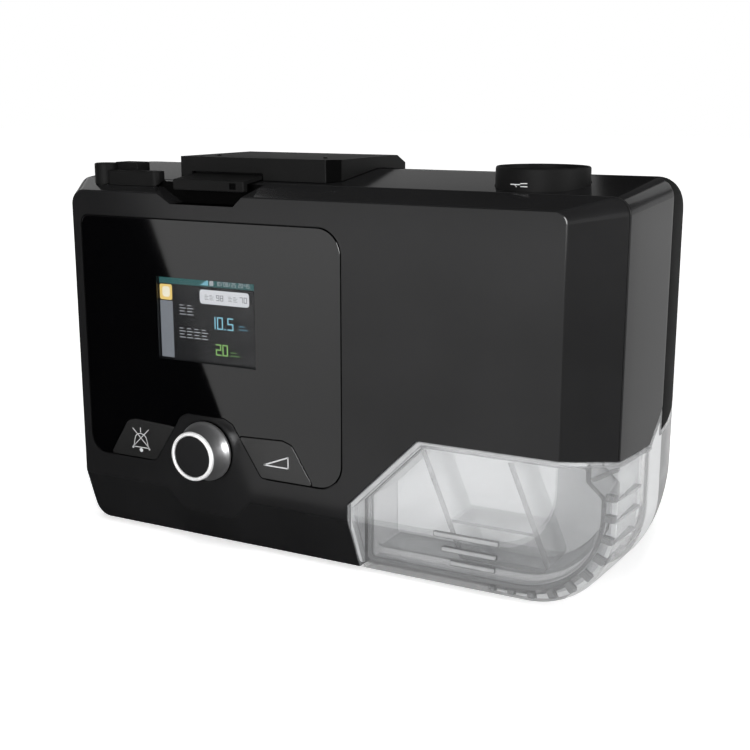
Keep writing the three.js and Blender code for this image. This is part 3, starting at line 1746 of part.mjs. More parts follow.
const frontPieces = group(
  [0, 0, 0],
  piece("front_panel", frontPanel(), "glossBlack"),
  piece("display_lens", displayLens(), "glass"),
  piece("lcd_module", lcdModule(), "glossBlack"),
  piece("main_board", mainBoard(), "board"),
  piece("mute_button", button(-1), "glossBlack"),
  piece("ramp_button", button(1), "glossBlack"),
  piece("mute_switch", buttonSwitch(-1), "steel"),
  piece("ramp_switch", buttonSwitch(1), "steel"),
  piece("alarm_buzzer", alarmBuzzer(), "rubber"),
);

const knobPieces = group(
  [knobX, 0, KNOB_HEIGHT],
  piece("knob_shell", knobShell(), "satinMetal"),
  piece("knob_cap", knobCap(), "darkMetal"),
  piece("knob_plunger", knobPlunger(), "steel"),
  piece("encoder_body", encoderBody(), "steel"),
);

const tankPieces = group(
  [0, 0, 0],
  piece("tank_shell", tankShell(), "clear"),
  piece("tank_tub", tankTub(), "clear"),
  piece("tank_lid", tankLid(), "clear"),
  piece("tank_seal", tankSeal(), "silicone"),
  piece("tank_baffle", tankBaffle(), "clear"),
  piece("tank_hot_plate", tankHotPlate(), "aluminium"),
);

const outletPieces = group(
  [outletX, OUTLET.depth, 0],
  piece("outlet_duct", outletDuct(), "greyPlastic"),
  piece("outlet_collar", outletCollar(), "satinBlack"),
  piece("outlet_gasket", portGasket(0, 0), "silicone"),
);

const modulePieces = group(
  [0, 0, 0],
  piece("module_cover", moduleCover(), "satinBlack"),
  piece("module_base", moduleBase(), "satinBlack"),
  piece("module_latch", moduleLatch(), "satinBlack"),
  piece("sensor_plug", sensorPlug(), "satinBlack"),
);

const MOUNT_ANGLES = [Math.PI / 2, (Math.PI * 7) / 6, (Math.PI * 11) / 6];
const blowerPieces = group(
  [blowerX, blowerDepth, 0],
  piece("blower_volute", blowerVolute(), "greyPlastic"),
  piece("blower_cover", blowerCover(), "greyPlastic"),
  piece("impeller", impeller(), "greyPlastic"),
  piece("motor_shaft", motorShaft(), "steel"),
  piece("motor_bearing", motorBearing(), "steel"),
  piece("motor_stator", motorStator(), "darkMetal"),
  ...MOUNT_ANGLES.map((angle, i) => piece("blower_mount_" + (i + 1), blowerMount(angle), "rubber")),
);

const airPieces = group(
  [0, 0, 0],
  piece("blower_duct", blowerDuct(), "greyPlastic"),
  piece("inlet_gasket", portGasket(inletX, inletDepth), "silicone"),
  piece("air_filter", airFilter(), "whiteFoam"),
  piece("filter_cover", filterCover(), "casingBlack"),
  piece("inlet_muffler", inletMuffler(), "greyPlastic"),
);

const rearPieces = group(
  [0, 0, 0],
  piece("io_board", ioBoard(), "board"),
  piece("dc_jack", dcJack(), "rubber"),
  piece("comm_port", commPort(), "steel"),
  piece("comm_flap", commFlap(), "rubber"),
  piece("card_socket", cardSocket(), "steel"),
  piece("memory_card", memoryCard(), "satinBlack"),
);

export default group(
  [0, FRONT_Y, 0],
  casingPieces,
  frontPieces,
  knobPieces,
  tankPieces,
  outletPieces,
  modulePieces,
  blowerPieces,
  airPieces,
  rearPieces,
);
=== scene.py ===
# %% [markdown]
# # A bedside breathing machine with a clear water tank
# The machine is a black casing with a gloss front panel, a lit display, a metal knob
# and a clear tank that slides in from the right. Its solids are loaded first, as a fixed
# frame, because every piece that dresses them here sits on that frame.

# %% Load the frame
import json
import math

import bmesh
import bpy
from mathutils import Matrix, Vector


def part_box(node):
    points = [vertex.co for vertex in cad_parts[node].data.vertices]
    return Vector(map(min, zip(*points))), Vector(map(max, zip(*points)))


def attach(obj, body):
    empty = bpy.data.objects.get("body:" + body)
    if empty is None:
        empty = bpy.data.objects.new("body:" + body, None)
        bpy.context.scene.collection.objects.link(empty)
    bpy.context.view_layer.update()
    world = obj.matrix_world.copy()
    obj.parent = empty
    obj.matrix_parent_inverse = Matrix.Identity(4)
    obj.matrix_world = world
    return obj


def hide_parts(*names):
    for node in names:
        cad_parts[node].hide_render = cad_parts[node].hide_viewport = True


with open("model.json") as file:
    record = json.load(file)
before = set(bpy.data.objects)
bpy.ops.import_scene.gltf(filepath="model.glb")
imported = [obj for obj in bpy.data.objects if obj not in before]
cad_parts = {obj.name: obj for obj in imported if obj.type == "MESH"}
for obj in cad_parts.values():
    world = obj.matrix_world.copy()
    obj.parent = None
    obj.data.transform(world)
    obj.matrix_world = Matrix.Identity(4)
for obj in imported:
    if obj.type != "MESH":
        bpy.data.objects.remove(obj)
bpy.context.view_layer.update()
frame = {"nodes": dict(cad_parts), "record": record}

nodes = frame["nodes"]

# %% [markdown]
# ## Places and outlines
# The machine is drawn in millimetres, with depths measured back from its flat front
# face, and spots become Blender's metres at the last moment. An outline is a list of
# points that runs anticlockwise. Moving all its edges by one distance gives the same
# shape a little larger or smaller, which makes a soft edge, a wall or a gap.

# %% Places
MM = 0.001
FRONT_FACE = -51.7


def spot(x, depth, height):
    return Vector((x, FRONT_FACE + depth, height)) * MM


def depth_of(centre):
    return centre.y / MM - FRONT_FACE


def outset(points, distance):
    moved = []
    for i, (x, y) in enumerate(points):
        (bx, by), (nx, ny) = points[i - 1], points[(i + 1) % len(points)]
        before = Vector((x - bx, y - by)).normalized()
        after = Vector((nx - x, ny - y)).normalized()
        opening = 1 + before.dot(after)
        moved.append((x + distance * (before.y + after.y) / opening,
                      y - distance * (before.x + after.x) / opening))
    return moved


# %% Rounded corners
def corner_arc(before, corner, after, radius, steps):
    a = (Vector(before) - Vector(corner)).normalized()
    b = (Vector(after) - Vector(corner)).normalized()
    half_angle = math.acos(max(-1, min(1, a.dot(b)))) / 2
    back = radius / math.tan(half_angle)
    centre = Vector(corner) + (a + b).normalized() * radius / math.sin(half_angle)
    first = Vector(corner) + a * back - centre
    last = Vector(corner) + b * back - centre
    start = math.atan2(first.y, first.x)
    turn = math.remainder(math.atan2(last.y, last.x) - start, math.tau)
    return [(centre.x + radius * math.cos(start + turn * i / steps),
             centre.y + radius * math.sin(start + turn * i / steps)) for i in range(steps + 1)]


# A point (x, y) stays a sharp corner, and a point (x, y, radius) is rounded.
def rounded(points, steps=8):
    outline = []
    for i, point in enumerate(points):
        if len(point) == 2:
            outline.append(point)
            continue
        before, after = points[i - 1][:2], points[(i + 1) % len(points)][:2]
        outline += corner_arc(before, point[:2], after, point[2], steps)
    return outline


def anticlockwise(points):
    area = sum(points[i - 1][0] * y - x * points[i - 1][1] for i, (x, y) in enumerate(points))
    return points if area > 0 else points[::-1]


# %% [markdown]
# ## Turning outlines into meshes
# Most mouldings are an outline pushed through a depth, or one that changes as it goes
# back. Both are rings of points with faces between them. Rings that shrink at the ends
# leave a soft edge in the mesh itself. Round parts are turned profiles, made from rings
# in the same way.

# %% Rings into meshes
SAME_POINT = 1e-7


def link_mesh(name, mesh):
    obj = bpy.data.objects.new(name, mesh)
    bpy.context.scene.collection.objects.link(obj)
    return obj


def from_rings(name, rings, closed_loop=False):
    work = bmesh.new()
    rows = [[work.verts.new(spot(*point)) for point in ring] for ring in rings]
    pairs = list(zip(rows, rows[1:]))
    if closed_loop:
        pairs.append((rows[-1], rows[0]))
    count = len(rows[0])
    for near, far in pairs:
        for i in range(count):
            j = (i + 1) % count
            work.faces.new((near[i], near[j], far[j], far[i]))
    if not closed_loop:
        work.faces.new(rows[0])
        work.faces.new(rows[-1])
    bmesh.ops.remove_doubles(work, verts=work.verts, dist=SAME_POINT)
    bmesh.ops.recalc_face_normals(work, faces=work.faces)
    mesh = bpy.data.meshes.new(name)
    work.to_mesh(mesh)
    work.free()
    return link_mesh(name, mesh)


ON_AXIS = {
    "x": lambda u, v, along: (along, u, v),
    "y": lambda u, v, along: (u, along, v),
    "z": lambda u, v, along: (u, v, along),
}


def soft_levels(low, high, soft_low, soft_high, steps=4):
    turns = [math.pi / 2 * i / steps for i in range(steps + 1)]
    near = [(low + soft_low * (1 - math.cos(a)), soft_low * (1 - math.sin(a))) for a in turns]
    far = [(high - soft_high * (1 - math.cos(a)), soft_high * (1 - math.sin(a))) for a in turns]
    return (near if soft_low else near[-1:]) + (far[::-1] if soft_high else far[-1:])


def prism(name, axis, outline, low, high, soft_low=0, soft_high=0):
    outline = anticlockwise(outline)
    place = ON_AXIS[axis]
    return from_rings(name, [[place(u, v, along) for u, v in outset(outline, -inset)]
                             for along, inset in soft_levels(low, high, soft_low, soft_high)])


# %% Turned parts and blocks
def turned(name, axis, centre, profile, sides=96, closed_loop=False):
    place = ON_AXIS[axis]
    turns = [math.tau * i / sides for i in range(sides)]
    rings = [[place(centre[0] + radius * math.cos(a), centre[1] + radius * math.sin(a), along)
              for a in turns] for radius, along in profile]
    return from_rings(name, rings, closed_loop)


def rod(name, axis, centre, radius, low, high, sides=48, soft=0):
    profile = [(0, low), (radius, low), (radius, high), (0, high)]
    if soft:
        eased = soft * 0.3  # where the middle of a rounded corner lies
        profile = [(0, low), (radius - soft, low), (radius - eased, low + eased),
                   (radius, low + soft), (radius, high - soft),
                   (radius - eased, high - eased), (radius - soft, high), (0, high)]
    return turned(name, axis, centre, profile, sides)


def rectangle(x0, x1, y0, y1, radius=0):
    points = [(x0, y0), (x1, y0), (x1, y1), (x0, y1)]
    return rounded([(*p, radius) for p in points], 5) if radius else points


def block(name, x0, x1, d0, d1, z0, z1, radius=0, soft=0):
    return prism(name, "y", rectangle(x0, x1, z0, z1, radius), d0, d1, soft, soft)


# %% [markdown]
# ## Cutting meshes
# Openings such as the finger notch and the tank bay are cut out of a whole casing. A
# Boolean modifier does the cut and is applied at once, so a plain mesh stays and the
# cutters are thrown away.

# %% Boolean helpers
def combine(base, tools, operation):
    for tool in tools:
        step = base.modifiers.new("cut", "BOOLEAN")
        step.operation = operation
        step.solver = "MANIFOLD"
        step.object = tool
    bpy.context.view_layer.update()
    result = base.evaluated_get(bpy.context.evaluated_depsgraph_get())
    shaped = bpy.data.meshes.new_from_object(result)
    base.modifiers.clear()
    shaped.materials.clear()
    base.data = shaped
    for tool in tools:
        bpy.data.objects.remove(tool)
    assert len(shaped.polygons) > 3, base.name + " is empty"
    return base


def cut(base, *tools):
    return combine(base, tools, "DIFFERENCE")


def common(base, *tools):
    return combine(base, tools, "INTERSECT")


def join(base, *tools):
    return combine(base, tools, "UNION")


def copy_of(obj, name):
    return link_mesh(name, obj.data.copy())


# %% [markdown]
# ## Placing a finished piece
# Each piece gets smooth faces, with sharp edges only where the shape really turns, and it
# is tied to the body it moves with. The call that says which solids it stands for hides
# those solids. Where a piece has two or more finishes, it is painted face by face, by
# where each face lies or looks. Many small shapes of one kind are merged into one piece.

# %% Finishing a piece
SOFT_ANGLE = 28  # degrees: an edge that turns less is shaded smooth
FLAT_ANGLE = 3  # the same beside a face that looks straight forward or back


def mark_edges(obj, sharp_angle):
    work = bmesh.new()
    work.from_mesh(obj.data)
    for face in work.faces:
        face.smooth = True
    for edge in work.edges:
        turn = math.degrees(edge.calc_face_angle(0))
        beside_flat = any(abs(face.normal.y) > 0.99999 for face in edge.link_faces)
        edge.smooth = turn < sharp_angle and not (turn > FLAT_ANGLE and beside_flat)
    work.to_mesh(obj.data)
    work.free()


def finish_piece(obj, body, materials, stands_for=(), sharp_angle=SOFT_ANGLE):
    for material in materials if isinstance(materials, list) else [materials]:
        obj.data.materials.append(material)
    mark_edges(obj, sharp_angle)
    even = obj.modifiers.new("even shading", "WEIGHTED_NORMAL")
    even.keep_sharp = True
    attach(obj, body)
    if stands_for:
        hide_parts(*stands_for)
    return obj


def paint(obj, choose):
    for face in obj.data.polygons:
        face.material_index = int(choose(face))


def report(*pieces):
    print("faces:", {piece.name: len(piece.data.polygons) for piece in pieces})


def merged(name, parts):
    work = bmesh.new()
    for part in parts:
        work.from_mesh(part.data)
        bpy.data.objects.remove(part)
    mesh = bpy.data.meshes.new(name)
    work.to_mesh(mesh)
    work.free()
    return link_mesh(name, mesh)


# %% [markdown]
# ## Effects that finishes share
# Moulded plastic has a fine grain from its tool, and its colour and gloss drift a little.
# Clear plastic shows flow marks, and turned metal fine rings. Each effect is a node group
# that puts out only values, so every material can set it differently and keeps its own
# shader.

# %% Node helpers
def fill(node, **values):
    for label, value in values.items():
        node.inputs[label.replace("_", " ")].default_value = value


def add_node(tree, kind, **values):
    node = tree.nodes.new("ShaderNode" + kind)
    fill(node, **values)
    return node


def wire(tree, *pairs):
    for output, target in pairs:
        tree.links.new(output, target)


def new_group(name, inputs, outputs):
    group = bpy.data.node_groups.new(name, "ShaderNodeTree")
    for label, value in inputs.items():
        kind = "NodeSocketVector" if isinstance(value, tuple) else "NodeSocketFloat"
        socket = group.interface.new_socket(name=label, in_out="INPUT", socket_type=kind)
        socket.default_value = value
    for label in outputs:
        group.interface.new_socket(name=label, in_out="OUTPUT", socket_type="NodeSocketFloat")
    return group, group.nodes.new("NodeGroupInput"), group.nodes.new("NodeGroupOutput")


def object_coordinates(tree):
    return add_node(tree, "TexCoord").outputs["Object"]


# Each noise is a label, a scale, the detail and the distortion.
def noise_group(name, *noises):
    scales = {label + " Scale": scale for label, scale, detail, twist in noises}
    group, given, out = new_group(name, scales, [noise[0] for noise in noises])
    where = object_coordinates(group)
    for label, scale, detail, twist in noises:
        noise = add_node(group, "TexNoise", Detail=detail, Distortion=twist)
        wire(group, (where, noise.inputs["Vector"]),
             (given.outputs[label + " Scale"], noise.inputs["Scale"]),
             (noise.outputs["Fac"], out.inputs[label]))
    return group


# %% Grain of a moulded skin and flow marks of a clear one
moulded_skin = noise_group("moulded skin", ("Grain", 2200.0, 1.0, 0.0), ("Drift", 22.0, 3.0, 0.0))
clear_flow = noise_group("clear flow", ("Flow", 45.0, 4.0, 1.6), ("Fine", 900.0, 2.0, 0.0))

# %% Lines of a turned part
turned_lines, given, out = new_group(
    "turned lines", {"Centre": (0.0, 0.0, 0.0), "Line Scale": 9000.0}, ["Lines"])
offset, flat, radius_of = [add_node(turned_lines, "VectorMath") for _ in range(3)]
offset.operation, flat.operation, radius_of.operation = "SUBTRACT", "MULTIPLY", "LENGTH"
flat.inputs[1].default_value = (1, 0.35, 1)  # the lines also step along the axis, wider apart
lines = add_node(turned_lines, "TexNoise", Detail=4.0)
lines.noise_dimensions = "1D"
wire(turned_lines,
     (object_coordinates(turned_lines), offset.inputs[0]),
     (given.outputs["Centre"], offset.inputs[1]),
     (offset.outputs["Vector"], flat.inputs[0]),
     (flat.outputs["Vector"], radius_of.inputs[0]),
     (radius_of.outputs["Value"], lines.inputs["W"]),
     (given.outputs["Line Scale"], lines.inputs["Scale"]),
     (lines.outputs["Fac"], out.inputs["Lines"]))
print("node groups:", [group.name for group in bpy.data.node_groups])

# %% [markdown]
# ## Kinds of material
# Moulded plastic takes grain and drift, and metal takes turned lines. Clear plastic is
# nearly colourless when looked at straight, and darker and denser where it is seen on
# edge, so its colour and its alpha follow the angle; the darker colour there is painted
# shade. Alpha is used instead of refraction, because thin walls hardly bend light and the
# pieces behind stay crisp.


# %% Material helpers
def bare_material(name, **plain):
    material = bpy.data.materials.new(name)
    material.use_nodes = True
    tree = material.node_tree
    shader = tree.nodes["Principled BSDF"]
    fill(shader, **plain)
    return material, tree, shader


def place_group(tree, group, **values):
    node = tree.nodes.new("ShaderNodeGroup")
    node.node_tree = group
    fill(node, **values)
    return node


NOISE_SPAN = (0.3, 0.7)  # nearly all values of a noise lie between these


def spread(tree, value, low, high, target, source=NOISE_SPAN):
    span = add_node(tree, "MapRange", From_Min=source[0], From_Max=source[1], To_Min=low,
                    To_Max=high)
    wire(tree, (value, span.inputs["Value"]), (span.outputs["Result"], target))


def tint(tree, value, dark, light, target):
    ramp = add_node(tree, "ValToRGB")
    for element, place, colour in zip(ramp.color_ramp.elements, NOISE_SPAN, (dark, light)):
        element.position = place
        element.color = (*colour, 1)
    wire(tree, (value, ramp.inputs["Fac"]), (ramp.outputs["Color"], target))


def raise_grain(tree, value, shader, depth):
    bump = add_node(tree, "Bump", Strength=1.0, Distance=depth * MM)
    wire(tree, (value, bump.inputs["Height"]), (bump.outputs["Normal"], shader.inputs["Normal"]))


def times(colour, factor):
    return [c * factor for c in colour]


# %% Moulded plastic and metal
def moulded(name, colour, roughness, grain_depth, grain_scale=2200.0, drift_scale=22.0, **plain):
    change = 0.15
    material, tree, shader = bare_material(name, **plain)
    skin = place_group(tree, moulded_skin, Grain_Scale=grain_scale, Drift_Scale=drift_scale)
    drift = skin.outputs["Drift"]
    tint(tree, drift, times(colour, 1 - change), times(colour, 1 + change),
         shader.inputs["Base Color"])
    spread(tree, drift, roughness * 0.92, roughness * 1.08, shader.inputs["Roughness"])
    raise_grain(tree, skin.outputs["Grain"], shader, grain_depth)
    return material


def metal(name, colour, roughness, centre, line_depth, line_scale=9000.0, metallic=1.0):
    material, tree, shader = bare_material(name, Metallic=metallic)
    marks = place_group(tree, turned_lines, Centre=centre, Line_Scale=line_scale)
    rings = marks.outputs["Lines"]
    tint(tree, rings, times(colour, 0.9), colour, shader.inputs["Base Color"])
    spread(tree, rings, roughness * 0.8, roughness * 1.25, shader.inputs["Roughness"])
    raise_grain(tree, rings, shader, line_depth)
    return material


# %% Clear plastic
EDGE_ALPHA = 0.75  # how dense a clear wall looks on edge
FINE_DEPTH = 0.003


def clear(name, colour, roughness, alpha, change=0.06, edge=0.45):
    material, tree, shader = bare_material(name)
    marks = place_group(tree, clear_flow, Flow_Scale=45.0, Fine_Scale=900.0)
    flow = marks.outputs["Flow"]
    # painted shade: the colour darkens towards the edge colour where the wall is viewed edge-on
    grazing = add_node(tree, "LayerWeight", Blend=0.3)
    slant = add_node(tree, "MapRange", From_Min=0.35, From_Max=0.95)
    body = add_node(tree, "MapRange", To_Max=max(alpha, EDGE_ALPHA))
    mix = add_node(tree, "Mix")
    mix.data_type = "RGBA"
    fill(mix, B=(*times(colour, edge), 1))
    tint(tree, flow, times(colour, 0.95), colour, mix.inputs["A"])
    spread(tree, flow, roughness * 0.85, roughness * 1.15, shader.inputs["Roughness"])
    spread(tree, flow, alpha - change, alpha + change, body.inputs["To Min"])
    wire(tree, (grazing.outputs["Facing"], slant.inputs["Value"]),
         (slant.outputs["Result"], mix.inputs["Factor"]),
         (mix.outputs["Result"], shader.inputs["Base Color"]),
         (slant.outputs["Result"], body.inputs["Value"]),
         (body.outputs["Result"], shader.inputs["Alpha"]))
    raise_grain(tree, marks.outputs["Fine"], shader, FINE_DEPTH)
    return material


# %% [markdown]
# ## The finishes
# The casing is satin black in front and matt behind, the panel gloss, the knob metal.
# The real tank is one clear plastic, but its walls look different by thickness, grain and
# angle, and a thin mesh can't show thickness by itself. So each wall gets its own finish,
# from nearly clear to milky; the darker finishes of the skin's slopes and rear are painted
# shade, and the tub's pale and darker walls are painted light and painted shade. Grain
# depths are in millimetres.

# %% Black, metal and printed finishes
SATIN_BLACK = (0.0105, 0.0105, 0.0108)
KNOB_X, KNOB_Z = -56.8, 47.6
knob_centre = tuple(spot(KNOB_X, 0, KNOB_Z))
satin_black = moulded("satin black cover", SATIN_BLACK, 0.12, 0.0004, Specular_IOR_Level=0.23)
side_black = moulded("satin black casing", SATIN_BLACK, 0.13, 0.0004, Specular_IOR_Level=0.13)
rear_black = moulded("matt black rear", (0.0052, 0.0052, 0.0052), 0.7, 0.02, 900.0,
                     Specular_IOR_Level=0.02)
# painted shade: a near-black without gloss for the finger notch, the latch's window and the
# module's chamfer
painted_shade_black = moulded("matt black with painted shade", (0.0025, 0.0025, 0.0025), 0.85, 0.02, 900.0,
                       Specular_IOR_Level=0.0)
module_black = moulded("satin black module", (0.006, 0.006, 0.006), 0.55, 0.004,
                       Specular_IOR_Level=0.08)
panel_gloss = moulded("gloss panel", (0.001, 0.001, 0.0012), 0.035, 0.0003, 300.0, 9.0)
button_black = moulded("satin buttons", (0.013, 0.013, 0.013), 0.25, 0.001)
print_grey = moulded("printed signs", (0.52, 0.52, 0.53), 0.5, 0.002)
print_white = moulded("white print", (0.75, 0.75, 0.76), 0.5, 0.001)
knob_satin = metal("satin knob", (0.6, 0.6, 0.61), 0.35, knob_centre, 0.001, metallic=0.92)
knob_bright = metal("bright ring", (0.97, 0.97, 0.97), 0.42, knob_centre, 0.0004, metallic=0.4)
cap_dark = moulded("dark cap", (0.0075, 0.0075, 0.008), 0.4, 0.002, Specular_IOR_Level=0.15)

# %% Clear finishes
# name, colour, roughness, alpha, change of alpha, colour on edge
tank_clear = clear("clear tank", (0.86, 0.87, 0.88), 0.14, 0.06, 0.005)
skin_clear = clear("clear skin", (0.9, 0.91, 0.92), 0.2, 0.12, 0.01, 0.22)
# painted shade on the tank skin's slopes and on the faces behind the crest
skin_slope_shade = clear("clear skin with painted shade on the slopes", (0.28, 0.284, 0.288), 0.25, 0.24, 0.02, 0.6)
skin_side = clear("frosted side of the skin", (0.66, 0.667, 0.673), 0.4, 0.88, 0.03, 0.75)
# painted shade on the rear faces of the tank skin that turn to the side
skin_rear_shade = clear("clear rear skin with painted shade", (0.14, 0.142, 0.144), 0.35, 0.86, 0.03, 0.8)
tank_lip_clear = clear("clear tank lip", (0.55, 0.557, 0.563), 0.2, 0.24, 0.03)
tank_splash = clear("milky splash wall", (0.8, 0.81, 0.82), 0.4, 0.93, 0.02, 0.8)
# The milky finish and the darker grainy one also serve as a lit and a shaded copy on the tub's
# walls: painted light and painted shade.
tank_milky = clear("frosted tank", (0.94, 0.94, 0.95), 0.4, 0.93, 0.02, 0.8)
tank_frost = clear("grainy frosted wall", (0.74, 0.75, 0.76), 0.35, 0.75, 0.1, 0.8)
tank_grip_clear = clear("grip bars", (0.62, 0.627, 0.633), 0.25, 0.5, 0.03)
tank_tooth = clear("teeth of the rim", (0.3, 0.304, 0.308), 0.3, 0.55, 0.03, 0.8)
# painted shade under the grip bars, and the dark of clear walls viewed edge-on
tank_rib = clear("dark edges and painted shade", (0.2, 0.203, 0.206), 0.3, 0.62, 0.03, 0.8)
lens_clear = clear("display lens", (0.02, 0.022, 0.024), 0.05, 0.1, 0.0)

# %% Finishes of the inner parts
seal_soft = moulded("translucent seal", (0.6, 0.61, 0.62), 0.5, 0.004)
hot_metal = metal("hot plate", (0.75, 0.75, 0.76), 0.35, (0.08, 0.0, 0.0), 0.002, 1500.0)
grey_plastic = moulded("plain grey moulding", (0.42, 0.43, 0.44), 0.5, 0.006)
rubber = moulded("soft rubber", (0.012, 0.012, 0.012), 0.7, 0.01, 1500.0)
steel = metal("plated steel", (0.55, 0.56, 0.57), 0.3, (0.0, 0.0, 0.0), 0.001, 3000.0)
dark_metal = moulded("coated metal", (0.03, 0.03, 0.031), 0.45, 0.003)
board_green = moulded("circuit board", (0.01, 0.09, 0.03), 0.4, 0.006, 500.0, 60.0)
foam = moulded("filter foam", (0.72, 0.72, 0.7), 0.95, 0.25, 700.0, 120.0)
display_dark = moulded("display face", (0.004, 0.0042, 0.005), 0.25, 0.0005)
print("materials:", len(bpy.data.materials))

# %% [markdown]
# ## The casing's form
# The casing is one lofted body. Its front face is small and flat, facets slope back from
# it to a parting line, the sides swell to a crest a third of the way back, and the rear
# tapers again. The same stations are used here as in the solids, with many more rings,
# and each crease is eased by averaging the stations round it.

# %% Casing stations
# depth, left, right, bottom, top, dip under the knob, corner radii from lower left round
STATIONS = [
    (0, -127.4, 107, 26.9, 160.3, 9, (2.5, 27, 5, 6.7)),
    (10.9, -132.0, 127.5, 2, 165.5, 0, (8, 36, 7, 7)),
    (51.5, -132.2, 132.2, 2, 170.5, 0, (12, 40, 8, 8)),
    (112, -121.1, 121.1, 2, 159.3, 0, (12, 40, 8, 8)),
    (115, -118.1, 118.1, 5, 156.3, 0, (10, 34, 7, 7)),
]
PARTING, CREST, REAR_EDGE, REAR = [station[0] for station in STATIONS[1:]]
DIP_HALF, DIP_SLANT = 12.9, 10
SIDE_BULGE, TOP_BULGE = 1.4, 1.8  # powers that keep the rear taper full


def between_stations(depth):
    depth = max(0, min(REAR, depth))
    for a, b in zip(STATIONS, STATIONS[1:]):
        if depth <= b[0]:
            break
    share = (depth - a[0]) / (b[0] - a[0])
    shares = [share] * 5
    if a[0] == CREST:
        side, top = share ** SIDE_BULGE, share ** TOP_BULGE
        shares = [side, side, share, top, share]
    values = [p + (q - p) * part for p, q, part in zip(a[1:6], b[1:6], shares)]
    return values + [p + (q - p) * share for p, q in zip(a[6], b[6])]


def eased_section(depth, ease):
    shifts = (-1, -0.5, 0, 0.5, 1) if ease < depth < REAR - ease else (0,)
    samples = [between_stations(depth + shift * ease) for shift in shifts]
    return [sum(column) / len(samples) for column in zip(*samples)]


def casing_ring(depth, inset=0, ease=0.0, at=None):
    left, right, bottom, top, dip, *corners = eased_section(depth, ease)
    left, right, bottom, top = left + inset, right - inset, bottom + inset, top - inset
    low_left, low_right, high_right, high_left = [radius - inset for radius in corners]
    half_dip = DIP_HALF - inset
    outline = corner_arc((left, top), (left, bottom), (0, bottom), low_left, 10)
    outline += [(KNOB_X - half_dip - DIP_SLANT, bottom), (KNOB_X - half_dip, bottom - dip),
                (KNOB_X + half_dip, bottom - dip), (KNOB_X + half_dip + DIP_SLANT, bottom)]
    outline += corner_arc((0, bottom), (right, bottom), (right, top), low_right, 24)
    outline += corner_arc((right, bottom), (right, top), (0, top), high_right, 10)
    outline += corner_arc((0, top), (left, top), (left, bottom), high_left, 10)
    return [(x, depth if at is None else at, z) for x, z in outline]


# %% Whole and hollow casing bodies
FRONT_ROUND, REAR_ROUND, EASE = 0.45, 0.5, 0.9
RING_DEPTHS = (3, 6, 9, 10.3, 10.6, 10.9, 11.2, 11.5, 20, 30, 40, 48, 50, 50.5, 51, 51.5, 52,
               52.5, 53, 55, 60, 66, 73, 81, 90, 98, 105, 111, 111.5, 112, 112.5, 113)
LAST_RING = 114.4
WALL_SHIFT = 2  # the hollow's stations lie this far behind those of the outside


def casing_body(name, grow=0.0):
    rings = [casing_ring(along, inset - grow)
             for along, inset in soft_levels(0, REAR, FRONT_ROUND, 0)[:-1]]
    rings += [casing_ring(depth, -grow, EASE) for depth in RING_DEPTHS]
    rings += [casing_ring(LAST_RING, -grow), casing_ring(REAR, REAR_ROUND - grow)]
    return from_rings(name, rings)


def casing_hollow(name, wall, front_wall):
    depths = (front_wall, PARTING + WALL_SHIFT, CREST + WALL_SHIFT, REAR - wall)
    return from_rings(name, [casing_ring(max(depth - WALL_SHIFT, 0), wall, at=depth)
                             for depth in depths])


print("ring points:", len(casing_ring(20)))

# %% [markdown]
# ## Cutters for the casing
# The tank takes the lower right corner, behind a seam that climbs at 45 degrees, runs
# level across the front and rises again at the side. The same cutter, grown or shrunk by
# half a gap, makes the bay and the tank, so the two always match. The notch lets a finger
# reach the latch, and the pocket takes the air filter.

# %% Cutters
FAR = 400
HALF_GAP, CASING_WALL, FRONT_WALL = 0.25, 2.4, 4
SEAM_X, SEAM_KNEE, SEAM_TOP = 14.6, 33.6, 65.6
SIDE_START, SIDE_STEP, SIDE_TOP, SIDE_PLANE = 39.9, 69.5, 78.7, 120.2


def tank_space(name, grow):
    front = [(SEAM_X, -FAR), (FAR, -FAR), (FAR, SEAM_TOP),
             (SEAM_X + SEAM_TOP - SEAM_KNEE, SEAM_TOP), (SEAM_X, SEAM_KNEE)]
    side = [(SIDE_START, SEAM_KNEE), (FAR, SEAM_KNEE), (FAR, SIDE_STEP), (CREST, SIDE_STEP),
            (CREST, SIDE_TOP), (SIDE_START, SEAM_TOP)]
    main = prism(name, "y", outset(front, grow), -FAR, FAR)
    return join(main, prism("wing", "x", outset(side, grow), SIDE_PLANE - grow, FAR))


NOTCH_LEFT, NOTCH_RIGHT = KNOB_X - 15.6, KNOB_X + 17.2
NOTCH_LOW, NOTCH_HIGH, NOTCH_BACK = 155.9, 170.5, 9.6
NOTCH_SLOPES = ((22.8 - 15.6) / 4.4, (22 - 17.2) / 4.4)  # read from the photo, left and right


def notch_cutter(grow):
    rise = NOTCH_HIGH - NOTCH_LOW
    outline = [(NOTCH_LEFT, NOTCH_LOW), (NOTCH_RIGHT, NOTCH_LOW),
               (NOTCH_RIGHT + NOTCH_SLOPES[1] * rise, NOTCH_HIGH),
               (NOTCH_LEFT - NOTCH_SLOPES[0] * rise, NOTCH_HIGH)]
    return prism("notch", "y", outset(outline, grow), -1, NOTCH_BACK + grow)


OUTLET = (86.0, 30.4)
COLLAR_R, COLLAR_LOW, COLLAR_GAP = 18.5, 164.4, 0.3


def collar_seat(grow):
    return rod("seat", "z", OUTLET, COLLAR_R + COLLAR_GAP + grow,
               COLLAR_LOW - COLLAR_GAP - grow, FAR, 96)


FILTER_X, FILTER_Z, FILTER_HALF, FILTER_FLOOR = -82.8, 113, 25, 100


def filter_pocket(grow):
    half = FILTER_HALF + grow
    return block("pocket", FILTER_X - half, FILTER_X + half, FILTER_FLOOR - grow, REAR + 1,
                 FILTER_Z - half, FILTER_Z + half)


